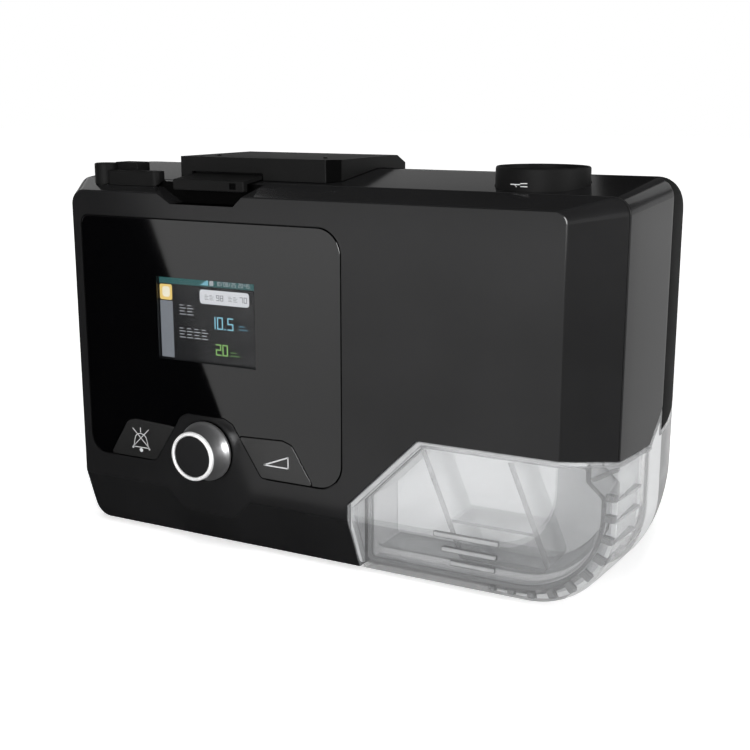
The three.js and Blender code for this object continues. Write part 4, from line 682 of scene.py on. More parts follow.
# %% The whole casing, hollowed
inside = cut(casing_hollow("inside", CASING_WALL, FRONT_WALL),
             tank_space("bay", HALF_GAP + CASING_WALL), notch_cutter(CASING_WALL),
             collar_seat(CASING_WALL), filter_pocket(CASING_WALL))
casing = cut(casing_body("casing"), inside)
casing = cut(casing, tank_space("bay", HALF_GAP), notch_cutter(0), collar_seat(0),
             filter_pocket(0))
report(casing)

# %% [markdown]
# ## Front cover
# The cover holds the panel, the knob's surround and the two buttons, and its joint with
# the casing behind is the dark line near the front edge. The panel's recess is cut to
# the panel's outline with a narrow gap left all round, which reads as a thin black line.

# %% Front outlines
panel_outline = rounded([(-122.4, 39, 8), (12, 39, 11), (12, 149.3, 11), (-122.4, 149.3, 4)], 10)
# distance to the side of the knob's middle, height, radius
SURROUND_HALF = [(31.2, 30), (31.2, 39), (28.6, 39), (17.1, 56.4, 4), (14, 61.2, 2.5),
                 (9.8, 63.2, 4)]
BUTTON_HALF = [(28.6, 39, 2.5), (54.8, 39, 1.0), (44.4, 55.7, 3.5), (40, 57.2, 4),
               (17.4, 56.3, 0.8)]
DISPLAY_BOX = (-81.25, -29.85, 87.3, 123.9)


def mirrored(points, side):
    return [(KNOB_X + side * p[0], *p[1:]) for p in points]


surround = rounded(mirrored(SURROUND_HALF, 1) + mirrored(SURROUND_HALF, -1)[::-1], 5)


def button_outline(side):
    points = mirrored(BUTTON_HALF, side)
    return anticlockwise(rounded(points if side > 0 else points[::-1], 5))


def button_holes(gap):
    return [prism("hole", "y", outset(button_outline(side), gap), -1, 5) for side in (-1, 1)]


def display_hole(margin, d0, d1):
    x0, x1, z0, z1 = DISPLAY_BOX
    return block("display hole", x0 - margin, x1 + margin, d0, d1, z0 - margin, z1 + margin)


# %% Front cover
SEAM = 0.5
PLUG_PIN = (-114, 6.4)


def plug_hole():
    return rod("plug hole", "z", PLUG_PIN, 2.5, 154.5, FAR)


front_half = block("front half", -FAR, FAR, -5, PARTING - SEAM / 2, -FAR, FAR)
recess = prism("recess", "y", outset(panel_outline, SEAM), -1, 1.9)
recess = cut(recess, prism("island", "y", surround, -5, 10))
cover = common(copy_of(casing, "front_cover_shell"), front_half)
cover = cut(cover, recess, display_hole(1.6, 0.5, 5), *button_holes(0.3),
            rod("knob pocket", "y", (KNOB_X, KNOB_Z), 14.0, -1, 1.3, 96),
            rod("shaft hole", "y", (KNOB_X, KNOB_Z), 4.2, -1, 5), plug_hole())
finish_piece(cover, "casing", [satin_black, painted_shade_black], ["front_cover"])
# painted shade: the faces of the finger notch take the near-black
paint(cover, lambda face: abs(face.center.x / MM - KNOB_X) < 22
      and 0.6 < depth_of(face.center) < 10 and face.center.z / MM > NOTCH_LOW - 0.5)
report(cover)

# %% [markdown]
# ## Gloss panel
# The panel is a thin plate of gloss plastic that lies flush in its recess, with cut-outs
# for the knob's surround, the buttons and the display. Its gloss is what shows the dark
# room in the photo, so it gets the smoothest finish of all.

# %% Gloss panel
panel = prism("gloss_panel", "y", panel_outline, 0, 1.6, 0.35)
panel = cut(panel, prism("surround gap", "y", outset(surround, SEAM), -5, 5),
            *button_holes(SEAM), display_hole(0.1, -1, 5))
finish_piece(panel, "casing", panel_gloss, ["front_panel"])
report(panel)

# %% [markdown]
# ## Display
# Under a thin clear lens lies a small colour screen. Its picture is built from flat
# glowing shapes: a header bar, a yellow lamp sign, a pale side bar, a white pill and two
# plain readings. Shapes in a mesh stay crisp in close views, which a painted glow would
# not, and digits are drawn as seven-segment strokes, so no font is needed.


# %% Glowing colours
def glowing(name, colour, strength):
    material, tree, shader = bare_material(name, Roughness=0.4, Emission_Strength=strength,
                                           Base_Color=(0.01, 0.01, 0.01, 1))
    skin = place_group(tree, moulded_skin, Grain_Scale=1500.0, Drift_Scale=200.0)
    tint(tree, skin.outputs["Drift"], times(colour, 0.94), colour, shader.inputs["Emission Color"])
    return material


teal = glowing("header teal", (0.012, 0.1, 0.1), 1.0)
lamp_yellow = glowing("lamp yellow", (1.0, 0.72, 0.22), 0.95)
lamp_white = glowing("lamp centre", (1.0, 0.95, 0.75), 1.0)
bar_grey = glowing("side bar", (0.22, 0.24, 0.27), 0.9)
pill_white = glowing("pill white", (0.8, 0.82, 0.86), 0.95)
pill_grey = glowing("pill marks", (0.25, 0.26, 0.28), 0.8)
text_white = glowing("screen white", (0.5, 0.52, 0.55), 0.9)
text_cyan = glowing("screen blue", (0.3, 0.68, 0.85), 1.0)
text_green = glowing("screen green", (0.3, 0.62, 0.16), 1.0)
dim_cyan = glowing("dim blue", (0.06, 0.2, 0.28), 1.0)
dim_green = glowing("dim green", (0.08, 0.2, 0.04), 1.0)

# %% Strokes and digits
SEGMENTS = {
    "0": "abcdef", "1": "bc", "2": "abged", "3": "abgcd", "4": "fgbc",
    "5": "afgcd", "6": "afgedc", "7": "abc", "8": "abcdefg", "9": "abcdfg",
}
NARROW = {"1": 0.2, ".": 0.1, ":": 0.1}
DOT = 0.01


def stroke(x0, z0, x1, z1, width):
    along = Vector((x1 - x0, z1 - z0)).normalized() * width / 2
    side = Vector((-along.y, along.x))
    a, b = Vector((x0, z0)) - along, Vector((x1, z1)) + along
    return [tuple(a - side), tuple(b - side), tuple(b + side), tuple(a + side)]


def digit_strokes(symbol, x, z, w, h, width):
    low, mid, high, right = z, z + h / 2, z + h, x + w
    if symbol == ".":
        return [stroke(x, low, x + DOT, low, width * 1.3)]
    if symbol == ":":
        return [stroke(x, z + h * up, x + DOT, z + h * up, width) for up in (0.3, 0.7)]
    if symbol == "/":
        return [stroke(x, low, x + w * 0.7, high, width)]
    ends = {"a": (x, high, right, high), "b": (right, high, right, mid),
            "c": (right, mid, right, low), "d": (x, low, right, low), "e": (x, low, x, mid),
            "f": (x, mid, x, high), "g": (x, mid, right, mid)}
    return [stroke(*ends[name], width) for name in SEGMENTS[symbol]]


def number_strokes(text, x, z, w, h, width, gap):
    shapes = []
    for symbol in text:
        if symbol == " ":
            x += w
            continue
        wide = NARROW.get(symbol, 1.0) * w
        shapes += digit_strokes(symbol, x, z, wide, h, width)
        x += wide + gap
    return shapes


# Rows of short lines stand for a word that the real screen shows.
def label_bars(x0, z0, count, height, pitch, width):
    wide = pitch * 0.72
    return [stroke(x, z0 + height * up, x + wide * (1 - trim), z0 + height * up, width)
            for x in (x0 + pitch * i for i in range(count))
            for up, trim in ((0, 0), (0.34, 0.25), (0.68, 0), (1, 0.4))]


# %% Screen shapes
SCREEN_D, SHEET, LIFT = 1.78, 0.05, 0.06


def flat_piece(name, body, outlines, near, far, material):
    parts = [prism(name, "y", outline, near, far) for outline in outlines]
    return finish_piece(merged(name, parts), body, material)


def screen_piece(name, outlines, material, lift=0.0):
    return flat_piece("screen_" + name, "casing", outlines,
                      SCREEN_D - SHEET - lift, SCREEN_D - lift, material)


screen_piece("header", [rectangle(-81.0, -31.0, 121.0, 124.3)], teal)
screen_piece("lamp", [rectangle(-80.9, -74.2, 113.7, 120.6, 0.9)], lamp_yellow)
screen_piece("lamp_centre", [rectangle(-79.4, -75.4, 115.0, 119.6, 1.2)], lamp_white, LIFT)
screen_piece("side_bar", [rectangle(-80.9, -74.1, 87.9, 113.3)], bar_grey)
screen_piece("pill", [rectangle(-59.3, -33.6, 113.4, 119.6, 1.4)], pill_white)
pill_numbers = [number_strokes(text, x, 115.3, 1.3, 2.2, 0.3, 0.75)
                for text, x in (("98", -50.4), ("70", -38.2))]
screen_piece("pill_marks", sum(pill_numbers, []), pill_grey, LIFT)
signal_bars = [rectangle(i - 58.5, i - 57.8, 121.5, 122.0 + 0.6 * i) for i in range(4)]
screen_piece("signal", signal_bars, text_cyan, LIFT)
card_sign = [(-53.9, 121.5), (-51.9, 121.5), (-51.9, 123.9), (-53.2, 123.9), (-53.9, 123.3)]
screen_piece("card_sign", [card_sign], text_white, LIFT)
clock = number_strokes("10/08/25 20:45", -49.8, 121.8, 0.85, 1.6, 0.2, 0.5)
screen_piece("clock", clock, text_white, LIFT)
screen_piece("pressure", number_strokes("10.5", -52.1, 102.9, 2.5, 4.9, 0.5, 1.35), text_cyan)
screen_piece("minutes", number_strokes("20", -51.3, 91.3, 2.3, 4.5, 0.48, 1.2), text_green)
screen_piece("label_high", label_bars(-70.2, 107.9, 2, 4.0, 4.1, 0.34), text_white)
screen_piece("label_low", label_bars(-70.6, 97.6, 4, 4.0, 4.0, 0.34), text_white)
pill_words = [label_bars(x, 115.4, 2, 1.9, 2.6, 0.2) for x in (-56.6, -44.2)]
screen_piece("pill_bars", sum(pill_words, []), pill_grey, LIFT)
screen_piece("unit_high", [rectangle(-39.2, -34.6, 103.2, 103.7),
                           rectangle(-39.2, -36.2, 104.6, 105.1)], dim_cyan)
screen_piece("unit_low", [rectangle(-43.8, -39.0, 91.3, 91.8),
                          rectangle(-43.8, -40.8, 92.7, 93.2)], dim_green)

# %% [markdown]
# ## Lens over the display
# The real screen lies under a thin window that is nearly black when the screen is off. It
# is a plain plate with softened edges, and its dark clear finish dims the shapes a little
# and takes the reflections.

# %% Lens over the display
x0, x1, z0, z1 = DISPLAY_BOX
lens = block("display_cover_lens", x0, x1, 0.0, 1.5, z0, z1, 0.4, 0.12)
finish_piece(lens, "casing", lens_clear, ["display_lens"])
report(lens)

# %% [markdown]
# ## Buttons and their signs
# The two buttons are thick plates flush with the panel. One carries a crossed-out bell,
# which silences an alarm, and the other a long thin triangle, which stands for a slow
# rise. The signs are printed on, so they are strokes a few hundredths of a millimetre
# thick that ride with their button.

# %% Buttons
KEY_BACK = 5.5
for side, name in ((-1, "mute"), (1, "ramp")):
    key = prism(name + "_key_cap", "y", button_outline(side), 0, KEY_BACK, 0.3)
    flange = prism("flange", "y", outset(button_outline(side), 1.2), 4.3, KEY_BACK)
    finish_piece(join(key, flange), name + "_key", button_black,
                 [name + "_button"])


# %% Printed signs
def print_sign(name, outlines, body):
    flat_piece(name, body, outlines, -0.04, 0.01, print_grey)


def closed_line(points, width):
    return [stroke(*a, *b, width) for a, b in zip(points, points[1:] + points[:1])]


BELL_X = -93.8
bell_side = [(-4.7, 44.0), (-4.0, 44.9), (-3.6, 47.0), (-3.0, 49.0), (-1.8, 50.2), (0, 50.6)]
bell = [(BELL_X + x, z) for x, z in bell_side] + [(BELL_X - x, z) for x, z in bell_side[-2::-1]]
bell_strokes = closed_line(bell, 0.34)
bell_strokes += [stroke(BELL_X + xa, za, BELL_X + xb, zb, 0.3) for xa, za, xb, zb in (
    (0, 51.2, 0, 53.2), (-4.4, 52.6, 4.3, 44.4), (4.6, 52.8, -4.4, 44.2))]
for x, z, radius in ((0, 42.7, 0.95), (-4.7, 43.6, 0.5), (4.7, 43.6, 0.5)):
    turns = [math.tau * i / 16 for i in range(16)]
    bell_strokes.append([(BELL_X + x + radius * math.cos(a), z + radius * math.sin(a))
                         for a in turns])
print_sign("bell_sign", bell_strokes, "mute_key")
print_sign("ramp_sign", closed_line([(-26.6, 45.3), (-14.3, 45.3), (-14.3, 50.2)], 0.6), "ramp_key")
print("strokes of the bell:", len(bell_strokes))

# %% [markdown]
# ## Knob
# The knob is turned metal: a flared satin side, a bright polished ring and a dark cap set
# a hair below it. One profile gives the whole shape. The ring and the side are two
# finishes on one mesh, chosen by how far each face lies from the front.

# %% Knob
# radius, depth
KNOB_PROFILE = [
    (0, -10.0), (9.4, -10.0), (9.4, -11.2), (9.5, -11.5), (9.75, -11.6), (10.2, -11.6),
    (10.6, -11.5), (10.85, -11.25), (11.0, -10.8), (11.05, -10.2), (11.15, -8.6), (11.4, -7.0),
    (11.7, -5.4), (12.0, -4.2), (12.4, -3.2), (12.9, -2.5), (13.3, -2.0), (13.4, -1.7),
    (13.4, -0.75), (13.25, -0.6), (2.9, -0.6), (2.9, -7.6), (0, -7.6)]
CAP_PROFILE = [(0, -11.05), (4, -11.07), (8.8, -11.15), (9.2, -10.9), (9.2, -10.3), (0, -10.3)]
RING_START = -10.3
knob = turned("knob_body", "y", (KNOB_X, KNOB_Z), KNOB_PROFILE, 128)
finish_piece(knob, "knob", [knob_satin, knob_bright], ["knob_shell"],
             sharp_angle=50)
paint(knob, lambda face: depth_of(face.center) < RING_START)
cap = turned("knob_cap_disc", "y", (KNOB_X, KNOB_Z), CAP_PROFILE)
finish_piece(cap, "knob", cap_dark, ["knob_cap"], sharp_angle=50)
report(knob, cap)

# %% [markdown]
# ## Rear casing
# Behind the parting line one moulding makes the sides, the top and the rear. It has the
# holes for the power plug, the data port, the card and the air filter. Forward of the
# crest it is satin like the cover, and behind it matt, so the faces are sorted by where
# they lie.

# %% Rear casing
INLET = (66.2, 74)
rear_half = block("rear half", -FAR, FAR, PARTING + SEAM / 2, FAR, -FAR, FAR)
housing = common(casing, rear_half)
slots = [block("slot", FILTER_X - 17, FILTER_X + 17, 90, 101, low, low + 4)
         for low in (FILTER_Z - 18 + 8.6 * i for i in range(5))]
housing = cut(housing, block("base hole", -107.2, 8.6, 16, 108, -5, 8),
              rod("outlet hole", "z", OUTLET, 12.9, 66, FAR),
              rod("inlet hole", "z", INLET, 13.0, 60, 70), plug_hole(),
              rod("jack hole", "y", (-30, 17.9), 5, 111, FAR),
              block("port hole", -66.5, -57.5, 111, FAR, 12.2, 16.8),
              block("flap seat", -71, -53, 113.2, FAR, 9, 20, 0.6),
              block("card slot", -112.9, -87.9, 111, FAR, 12.3, 15.4),
              block("hinge room", FILTER_X - 27.2, FILTER_X + 27.2, 112.4, 115.4, 133.7, 136.5),
              *slots)
finish_piece(housing, "casing", [side_black, rear_black], ["main_housing"])
paint(housing, lambda face: CREST < depth_of(face.center) < REAR_EDGE)
report(housing)

# %% [markdown]
# ## Tank: skin and lip
# The tank's outer skin continues the casing's form in clear plastic, with a thick lip
# along the seam. It is a casing body kept only inside the tank's space and hollowed, so
# it can't miss the casing's line. Its slopes take a darker finish, which is painted shade,
# the side is frosted just before the crest, and the rear is darker still, also painted shade.

# %% Tank skin and lip
TANK_WALL, LIP_WALL, LIP_WIDTH, SKIN_OVERLAP = 2.2, 5.2, 2.0, 2.05
BAND_START = 41


def tank_piece(obj, material, stands_for=()):
    return finish_piece(obj, "water_tank", material, stands_for)


def joined_piece(name, parts, finish, *rooms):
    obj = join(parts[0], *parts[1:])
    if rooms:
        obj = common(obj, *rooms)
    obj.name = name
    return tank_piece(obj, finish)


def heater_room():
    return block("heater room", -FAR, 93.4, 21.8, 102.2, -FAR, 8)


tank_outside = casing_body("tank_outside")
skin = common(copy_of(tank_outside, "tank_skin"),
              tank_space("skin space", -HALF_GAP - SKIN_OVERLAP))
skin = cut(skin, casing_hollow("tank hollow", TANK_WALL, TANK_WALL), heater_room())
tank_piece(skin, [skin_clear, skin_slope_shade, tank_rib, skin_rear_shade, skin_side], ["tank_shell"])


# Painted shade: the slopes in front and the faces behind the crest take the darker slope finish,
# and the rear faces that turn to the side take the darker rear one. Flat faces at the bottom take
# the dark finish of edges.
def skin_finish(face):
    depth, facing = depth_of(face.center), face.normal
    behind_crest = depth > CREST + 1
    if behind_crest and facing.x > 0.3 and facing.y < 0.5:
        return 3
    if depth > BAND_START and not behind_crest and facing.x > 0.8:
        return 4
    if abs(facing.z) > 0.9 and face.center.z < 6 * MM:
        return 2
    return behind_crest or depth < PARTING and abs(facing.y) < 0.97 and abs(facing.x) < 0.95


paint(skin, skin_finish)
lip = common(tank_outside, tank_space("lip space", -HALF_GAP))
lip = cut(lip, tank_space("lip inner", -HALF_GAP - LIP_WIDTH),
          casing_hollow("lip hollow", LIP_WALL, LIP_WALL), heater_room())
lip.name = "tank_lip"
tank_piece(lip, tank_lip_clear)
report(skin, lip)

# %% [markdown]
# ## Tank: the wall along the seam
# A second wall runs along the seam inside the lip, against the dark bay of the casing. It
# is frosted, because it stays light in the photo.

# %% Inner wall along the seam
SEAM_INSET, SEAM_WALL = 0.3, 1.6
wall = common(casing_body("tank_seam_wall", -2.3), tank_space("wall space", -SEAM_INSET),
              block("wall depth", -FAR, 116, 3, 12.2, 4.5, FAR))
wall = cut(wall, tank_space("wall inner", -SEAM_INSET - SEAM_WALL))
tank_piece(wall, tank_frost)
report(wall)

# %% [markdown]
# ## Tank: the tub
# The tub holds the water. It has one large round corner and a cut upper one, narrows
# towards the rear and steps down into a gutter at the front. It is lofted from four
# outlines and hollowed by a smaller copy, and a flat ring round its mouth gives the grey
# outline that shows through the skin.

# %% Tub
TUB_LEFT, TUB_LOW, TUB_HIGH, TUB_WALL = 18.0, 9.0, 62.0, 1.8
TUB_FRONT, TUB_REAR, TUB_RIGHT, TUB_TAPER = 12.5, 103.0, 122.0, 10.6
GUTTER_LOW, GUTTER_BACK, GUTTER_SLOPE = 5.8, 19.5, 1.5
DIAGONAL = SEAM_KNEE - SEAM_X - 3.3
CUT_SIDE, CUT_LOW, CUT_HIGH = 6.6, 49.5, 55.2
TUB_ROUND = 36


def tub_outline(right, inset, floor=GUTTER_LOW):
    left, low, high = TUB_LEFT + inset, floor + inset, TUB_HIGH - inset
    right -= inset
    climb = DIAGONAL - inset * (math.sqrt(2) - 1)
    return rounded([(left, low, 2), (right, low, TUB_ROUND - inset), (right, CUT_LOW, 2),
                    (right - CUT_SIDE, CUT_HIGH, 2), (right - CUT_SIDE, high, 1),
                    (high - climb, high, 2), (left, left + climb, 2)], 14)


def tub_body(name, inset):
    rings = []
    for depth, floor in ((TUB_FRONT + inset, GUTTER_LOW), (GUTTER_BACK - inset, GUTTER_LOW),
                         (GUTTER_BACK + GUTTER_SLOPE - inset, TUB_LOW),
                         (TUB_REAR - inset, TUB_LOW)):
        right = TUB_RIGHT - TUB_TAPER * (depth - TUB_FRONT) / (TUB_REAR - TUB_FRONT)
        rings.append([(x, depth, z) for x, z in tub_outline(right, inset, floor)])
    return from_rings(name, rings)


tub = cut(tub_body("tank_tub_shell", 0), tub_body("tub inside", TUB_WALL),
          block("lid hole", 48, 107, 18, 98, 55, FAR, 3))
tank_piece(tub, [tank_clear, tank_milky, tank_frost], ["tank_tub"])


# Painted light and shade: the front wall stays clear, the walls facing front or back and the left
# wall's inner face take the pale milky finish, and the curved walls and the floor take the darker
# frosted one.
def tub_finish(face):
    across = abs(face.normal.y) > 0.7
    if across and depth_of(face.center) < 20:
        return 0
    left_wall = face.normal.x > 0.3 and face.center.x < 60 * MM
    return 1 if across or left_wall else 2


paint(tub, tub_finish)
rim_ring = prism("tank_tub_rim", "y", tub_outline(TUB_RIGHT, -0.05), 12.3, 14.0)
rim_ring = cut(rim_ring, prism("rim inside", "y", tub_outline(TUB_RIGHT, 1.4), 5, 20))
tank_piece(rim_ring, tank_tooth)
report(tub, rim_ring)

# %% [markdown]
# ## Tank: teeth, cells and ribs
# Short teeth with light cells between them stiffen the rim between the tub and the skin,
# and slim ribs run back along the side. All are small rectangles stood at even steps
# along one path, which runs down the wall, round the big corner and along the bottom.
# They are trimmed to the casing's inside.

# %% Teeth and ribs between the tub and the skin
RIM_RIGHT, RIM_LOW, RIM_ROUND, RIM_TOP = 122.3, 5.5, 36.3, 50.6
PITCH, TEETH, RIBS = 8.4, 10, 4


def on_rim(travel):
    straight, quarter = RIM_TOP - RIM_LOW - RIM_ROUND, RIM_ROUND * math.pi / 2
    if travel < straight:
        return RIM_RIGHT, RIM_TOP - travel, 0, 1
    if travel > straight + quarter:
        return RIM_RIGHT - RIM_ROUND - (travel - straight - quarter), RIM_LOW, 1, 0
    turn = -(travel - straight) / RIM_ROUND
    return (RIM_RIGHT - RIM_ROUND * (1 - math.cos(turn)),
            RIM_LOW + RIM_ROUND * (1 + math.sin(turn)), -math.sin(turn), math.cos(turn))


def standing(name, travel, half, start, reach, near, far):
    x, z, ux, uz = on_rim(travel)
    corners = ((-half, start), (-half, reach), (half, reach), (half, start))
    return prism(name, "y", [(x + ux * along + uz * out, z + uz * along - ux * out)
                             for along, out in corners], near, far)


def rim_room():
    return cut(casing_body("rim room", -1.0),
               block("over the rim", -FAR, FAR, -FAR, FAR, 62.5, FAR))


teeth = [standing("tooth", PITCH * i, 1.3, 0.2, 4.6, 10.5, 13.5) for i in range(TEETH)]
teeth.append(prism("web", "y", stroke(117.1, 56.8, 126.5, 62.2, 1.6), 12.3, 14))
cells = [standing("cell", PITCH * (i + 0.5), 2.5, 1.7, 4.6, 12.6, 13.4)
         for i in range(TEETH - 1)]
ribs = [standing("rib", PITCH * i + 1.0, 0.5, 4.2, 9, 13.5, 36) for i in range(RIBS)]
report(joined_piece("tank_rim_teeth", teeth, tank_tooth, rim_room()),
       joined_piece("tank_side_ribs", ribs, tank_tooth, rim_room()),
       joined_piece("tank_rim_cells", cells, tank_frost, rim_room()))

# %% [markdown]
# ## Tank: side flange and band
# A flange behind the teeth and a frosted band at the crest show as pale upright stripes
# at the right of the photo. Each is a thin slice of the casing's own form, so it follows
# the curve of the skin.

# %% Flange and frosted band at the side
flange = common(casing_body("tank_side_flange", -2.4),
                block("flange plane", 20, FAR, 36, 38.2, -FAR, 62.2))
flange = cut(flange, prism("flange hole", "y", tub_outline(120.4, -0.2, TUB_LOW), 5, 90))
tank_piece(flange, tank_frost)
band = common(casing_body("tank_side_band", -2.3), tank_space("band space", -HALF_GAP - 2.4),
              block("band depth", 112, FAR, 45.2, 64, 14, FAR))
band = cut(band, casing_hollow("band hollow", 3.4, 3.4))
tank_piece(band, tank_milky)
report(flange, band)

# %% [markdown]
# ## Tank: grip bars and pull tab
# Three raised bars on the tank's front slope give the fingers a hold, and a small tab
# sits at the seam's right end. Each bar has a wider, darker block just below it, a painted
# shade under the bar, because a clear bar shows mostly by its edges.

# %% Grip bars and pull tab
slope = PARTING / 24.9
bars, edges = [], []
for i in range(3):
    x, z, half = SEAM_X + 54.6 + 0.4 * i, 28.3 - 6.8 * i, (28 - 4.4 * i) / 2
    face_depth = max(0, (26.9 - z) * slope)
    bars.append(block("grip", x - half, x + half, face_depth - 0.9, face_depth + 0.6,
                      z - 0.85, z + 0.85, 0.5, 0.4))
    # painted shade: a wider, darker block just below each bar
    edges.append(block("edge", x - half - 0.3, x + half + 0.3, face_depth - 0.3,
                       face_depth + 0.7, z - 1.25, z + 1.2, 0.6, 0.1))
report(joined_piece("tank_grip_bars", bars, tank_grip_clear),
       joined_piece("tank_grip_painted_shade", edges, tank_rib))
tank_piece(block("tank_pull_tab", 128.5, 131.6, 34.5, 40.5, 63.4, 64.6, 0.5, 0.3),
           tank_lip_clear)

# %% [markdown]
# ## Tank: lid, hot floor and chute
# The lid plugs the tub and has two bores for the air, and the metal floor passes on the
# heater's warmth. The chute leads the air down over the water, and its dark edges are the
# strongest lines inside the tank. It is a slanted outline, hollowed by a smaller one,
# with a shelf joined in.

# %% Lid and hot floor
lid = block("tank_lid_plate", 49.5, 108.2, 15.7, 99.8, 62.3, 64.9, 1.0, 0.3)
lid = cut(join(lid, block("plug", 48.3, 106.4, 17.5, 98, 58.1, 62.6, 1.2)),
          rod("outlet bore", "z", OUTLET, 8.9, 0, FAR),
          rod("inlet bore", "z", INLET, 8.9, 0, FAR))
tank_piece(lid, tank_milky, ["tank_lid", "tank_seal"])
hot_floor = block("tank_hot_floor", 32.6, 85.2, 30.5, 94, 7.6, 8.7, 0.4, 0.1)
tank_piece(hot_floor, hot_metal, ["tank_hot_plate"])
report(lid, hot_floor)

# %% Chute and splash wall
CHUTE_LOW, CHUTE_HIGH, CHUTE_WIDE, CHUTE_WALL = 13.0, 57.7, 41.4, 2.4
SHELF_LOW, SHELF_HIGH = 28.2, 29.6
lean = (45.5 - 26.9) / (CHUTE_HIGH - CHUTE_LOW)


def chute_left(z):
    return SEAM_X + 26.9 + (CHUTE_HIGH - z) * lean


def chute_outline(inset, high):
    left, right = inset * math.hypot(1, lean), CHUTE_WIDE - inset * math.hypot(1, lean)
    low = CHUTE_LOW + inset
    return [(chute_left(low) + left, low), (chute_left(low) + right, low),
            (chute_left(high) + right, high), (chute_left(high) + left, high)]


outer = [(*p, r) if r else p for p, r in zip(chute_outline(0, CHUTE_HIGH), (2.5, 4.5, 0, 0))]
chute = prism("tank_chute", "y", rounded(outer, 5), 15, 36)
chute = cut(chute, prism("chute inside", "y", chute_outline(CHUTE_WALL, 90), 5, 50))
shelf = [(chute_left(z) + across, z) for z, across in (
    (SHELF_LOW, 1), (SHELF_LOW, 40), (SHELF_HIGH, 40), (SHELF_HIGH, 1))]
chute = join(chute, prism("shelf", "y", shelf, 15.2, 35.8))
tank_piece(chute, [tank_clear, tank_rib], ["tank_baffle"])
paint(chute, lambda face: face.normal.y < -0.7)
tank_piece(prism("tank_splash_wall", "y", tub_outline(119.0, 2.0, TUB_LOW), 36.4, 37.6),
           tank_splash)
report(chute)

# %% [markdown]
# ## Outlet on the top
# A round collar stands out of the top, thin at its rim, with the port for the hose
# inside it. Its outside has a short step and a small printed arrow. Both are turned
# profiles with eased corners.

# %% Collar
# radius, height
COLLAR_PROFILE = [(12.2, 164.4), (17.6, 164.4), (18.1, 164.7), (18.4, 165.4), (18.5, 166.4),
                  (18.5, 169.0), (18.5, 173.9), (18.35, 174.4), (17.95, 174.7), (17.5, 174.7),
                  (17.2, 174.4), (17.2, 168.9), (12.2, 168.9)]
collar = turned("outlet_collar_ring", "z", OUTLET, COLLAR_PROFILE, 128, closed_loop=True)
finish_piece(collar, "collar", module_black, ["outlet_collar"], sharp_angle=40)
report(collar)


# %% Arrow on the collar
def on_collar(angle, z, out):
    turn = math.radians(angle)
    reach = COLLAR_R + out
    return OUTLET[0] + reach * math.cos(turn), OUTLET[1] + reach * math.sin(turn), z


def collar_line(start, end, z0, z1, half=0.15, parts=10):
    rings = []
    for share in (i / parts for i in range(parts + 1)):
        angle, z = start + (end - start) * share, z0 + (z1 - z0) * share
        rings.append([on_collar(angle, z + up, out) for up, out in (
            (-half, -0.02), (-half, 0.03), (half, 0.03), (half, -0.02))])
    return from_rings("line", rings)


arrow = join(collar_line(-111, -97, 168.5, 168.5), collar_line(-97, -88, 167.8, 167.8),
             collar_line(-97, -88, 168.9, 169.0), collar_line(-105, -102, 168.5, 167.6))
arrow.name = "collar_tick_mark"
finish_piece(arrow, "collar", print_white)
report(arrow)

# %% Port
PORT_PROFILE = [(8.9, 68.6), (15.5, 68.6), (15.5, 70.5), (10.9, 70.6), (10.9, 171.4),
                (10.6, 171.9), (10.0, 172.0), (9.2, 172.0), (8.9, 171.7)]
port = turned("outlet_port_tube", "z", OUTLET, PORT_PROFILE, closed_loop=True)
finish_piece(port, "casing", grey_plastic, ["outlet_duct"], sharp_angle=40)
report(port)

# %% [markdown]
# ## Accessory module
# A flat box with a sloping rear edge sits on the top left. Its side view is pushed
# across, trimmed to its plan and hollowed, and the casing's own form cuts its underside,
# so that it sits on the sloping top without a gap.

# %% Module
MODULE_LEFT, MODULE_RIGHT = KNOB_X - 20.4, KNOB_X + 58.8
MODULE_NEAR, MODULE_FAR, MODULE_TOP = 14.7, 78.9, 175.6
SHELL = 2
side_view = [(MODULE_NEAR, 150), (MODULE_FAR, 150), (MODULE_FAR, MODULE_TOP - 4),
             (70.0, MODULE_TOP), (MODULE_NEAR, MODULE_TOP)]
plan_view = rounded([(MODULE_LEFT, MODULE_NEAR, 1.2), (MODULE_RIGHT - 5, MODULE_NEAR, 1),
                     (MODULE_RIGHT, MODULE_NEAR + 5, 1), (MODULE_RIGHT, MODULE_FAR, 1.2),
                     (MODULE_LEFT, MODULE_FAR, 1.2)], 4)
hollow_view = [(MODULE_NEAR + SHELL, 140), (MODULE_FAR - SHELL, 140),
               (MODULE_FAR - SHELL, MODULE_TOP - 6), (69.0, MODULE_TOP - SHELL),
               (MODULE_NEAR + SHELL, MODULE_TOP - SHELL)]
tongue_room = [(2.5, 165.0), (18.6, 166.6), (18.6, 169.8), (2.5, 168.0)]
module = common(prism("module_lid", "x", side_view, MODULE_LEFT, MODULE_RIGHT),
                prism("plan", "z", plan_view, 0, FAR))
module = cut(module, casing_body("seat", 0.3),
             prism("module inside", "x", hollow_view, MODULE_LEFT + SHELL, MODULE_RIGHT - 5.5),
             prism("tongue slot", "x", tongue_room, KNOB_X - 14.1, KNOB_X + 23.0))
finish_piece(module, "accessory_module", [module_black, painted_shade_black],
             ["module_cover"])
# painted shade: the module's front right chamfer takes the near-black
paint(module, lambda face: face.normal.x > 0.5 and face.normal.y < -0.5)
for i, along in enumerate((12.5, 67)):
    post = rod("module_post_%d" % (i + 1), "z", (MODULE_LEFT + along, 27), 0.95,
               MODULE_TOP - 0.4, MODULE_TOP + 0.5, 24, 0.2)
    finish_piece(post, "accessory_module", module_black)
report(module)

# %% [markdown]
# ## Latch
# A bar hangs over the finger notch, and a thin tongue runs back from it to a pin under
# the module. The bar is a soft block, the tongue a slim outline pushed across, and the
# pin a rod. A small window is cut into the bar's right end, and its faces get painted shade.

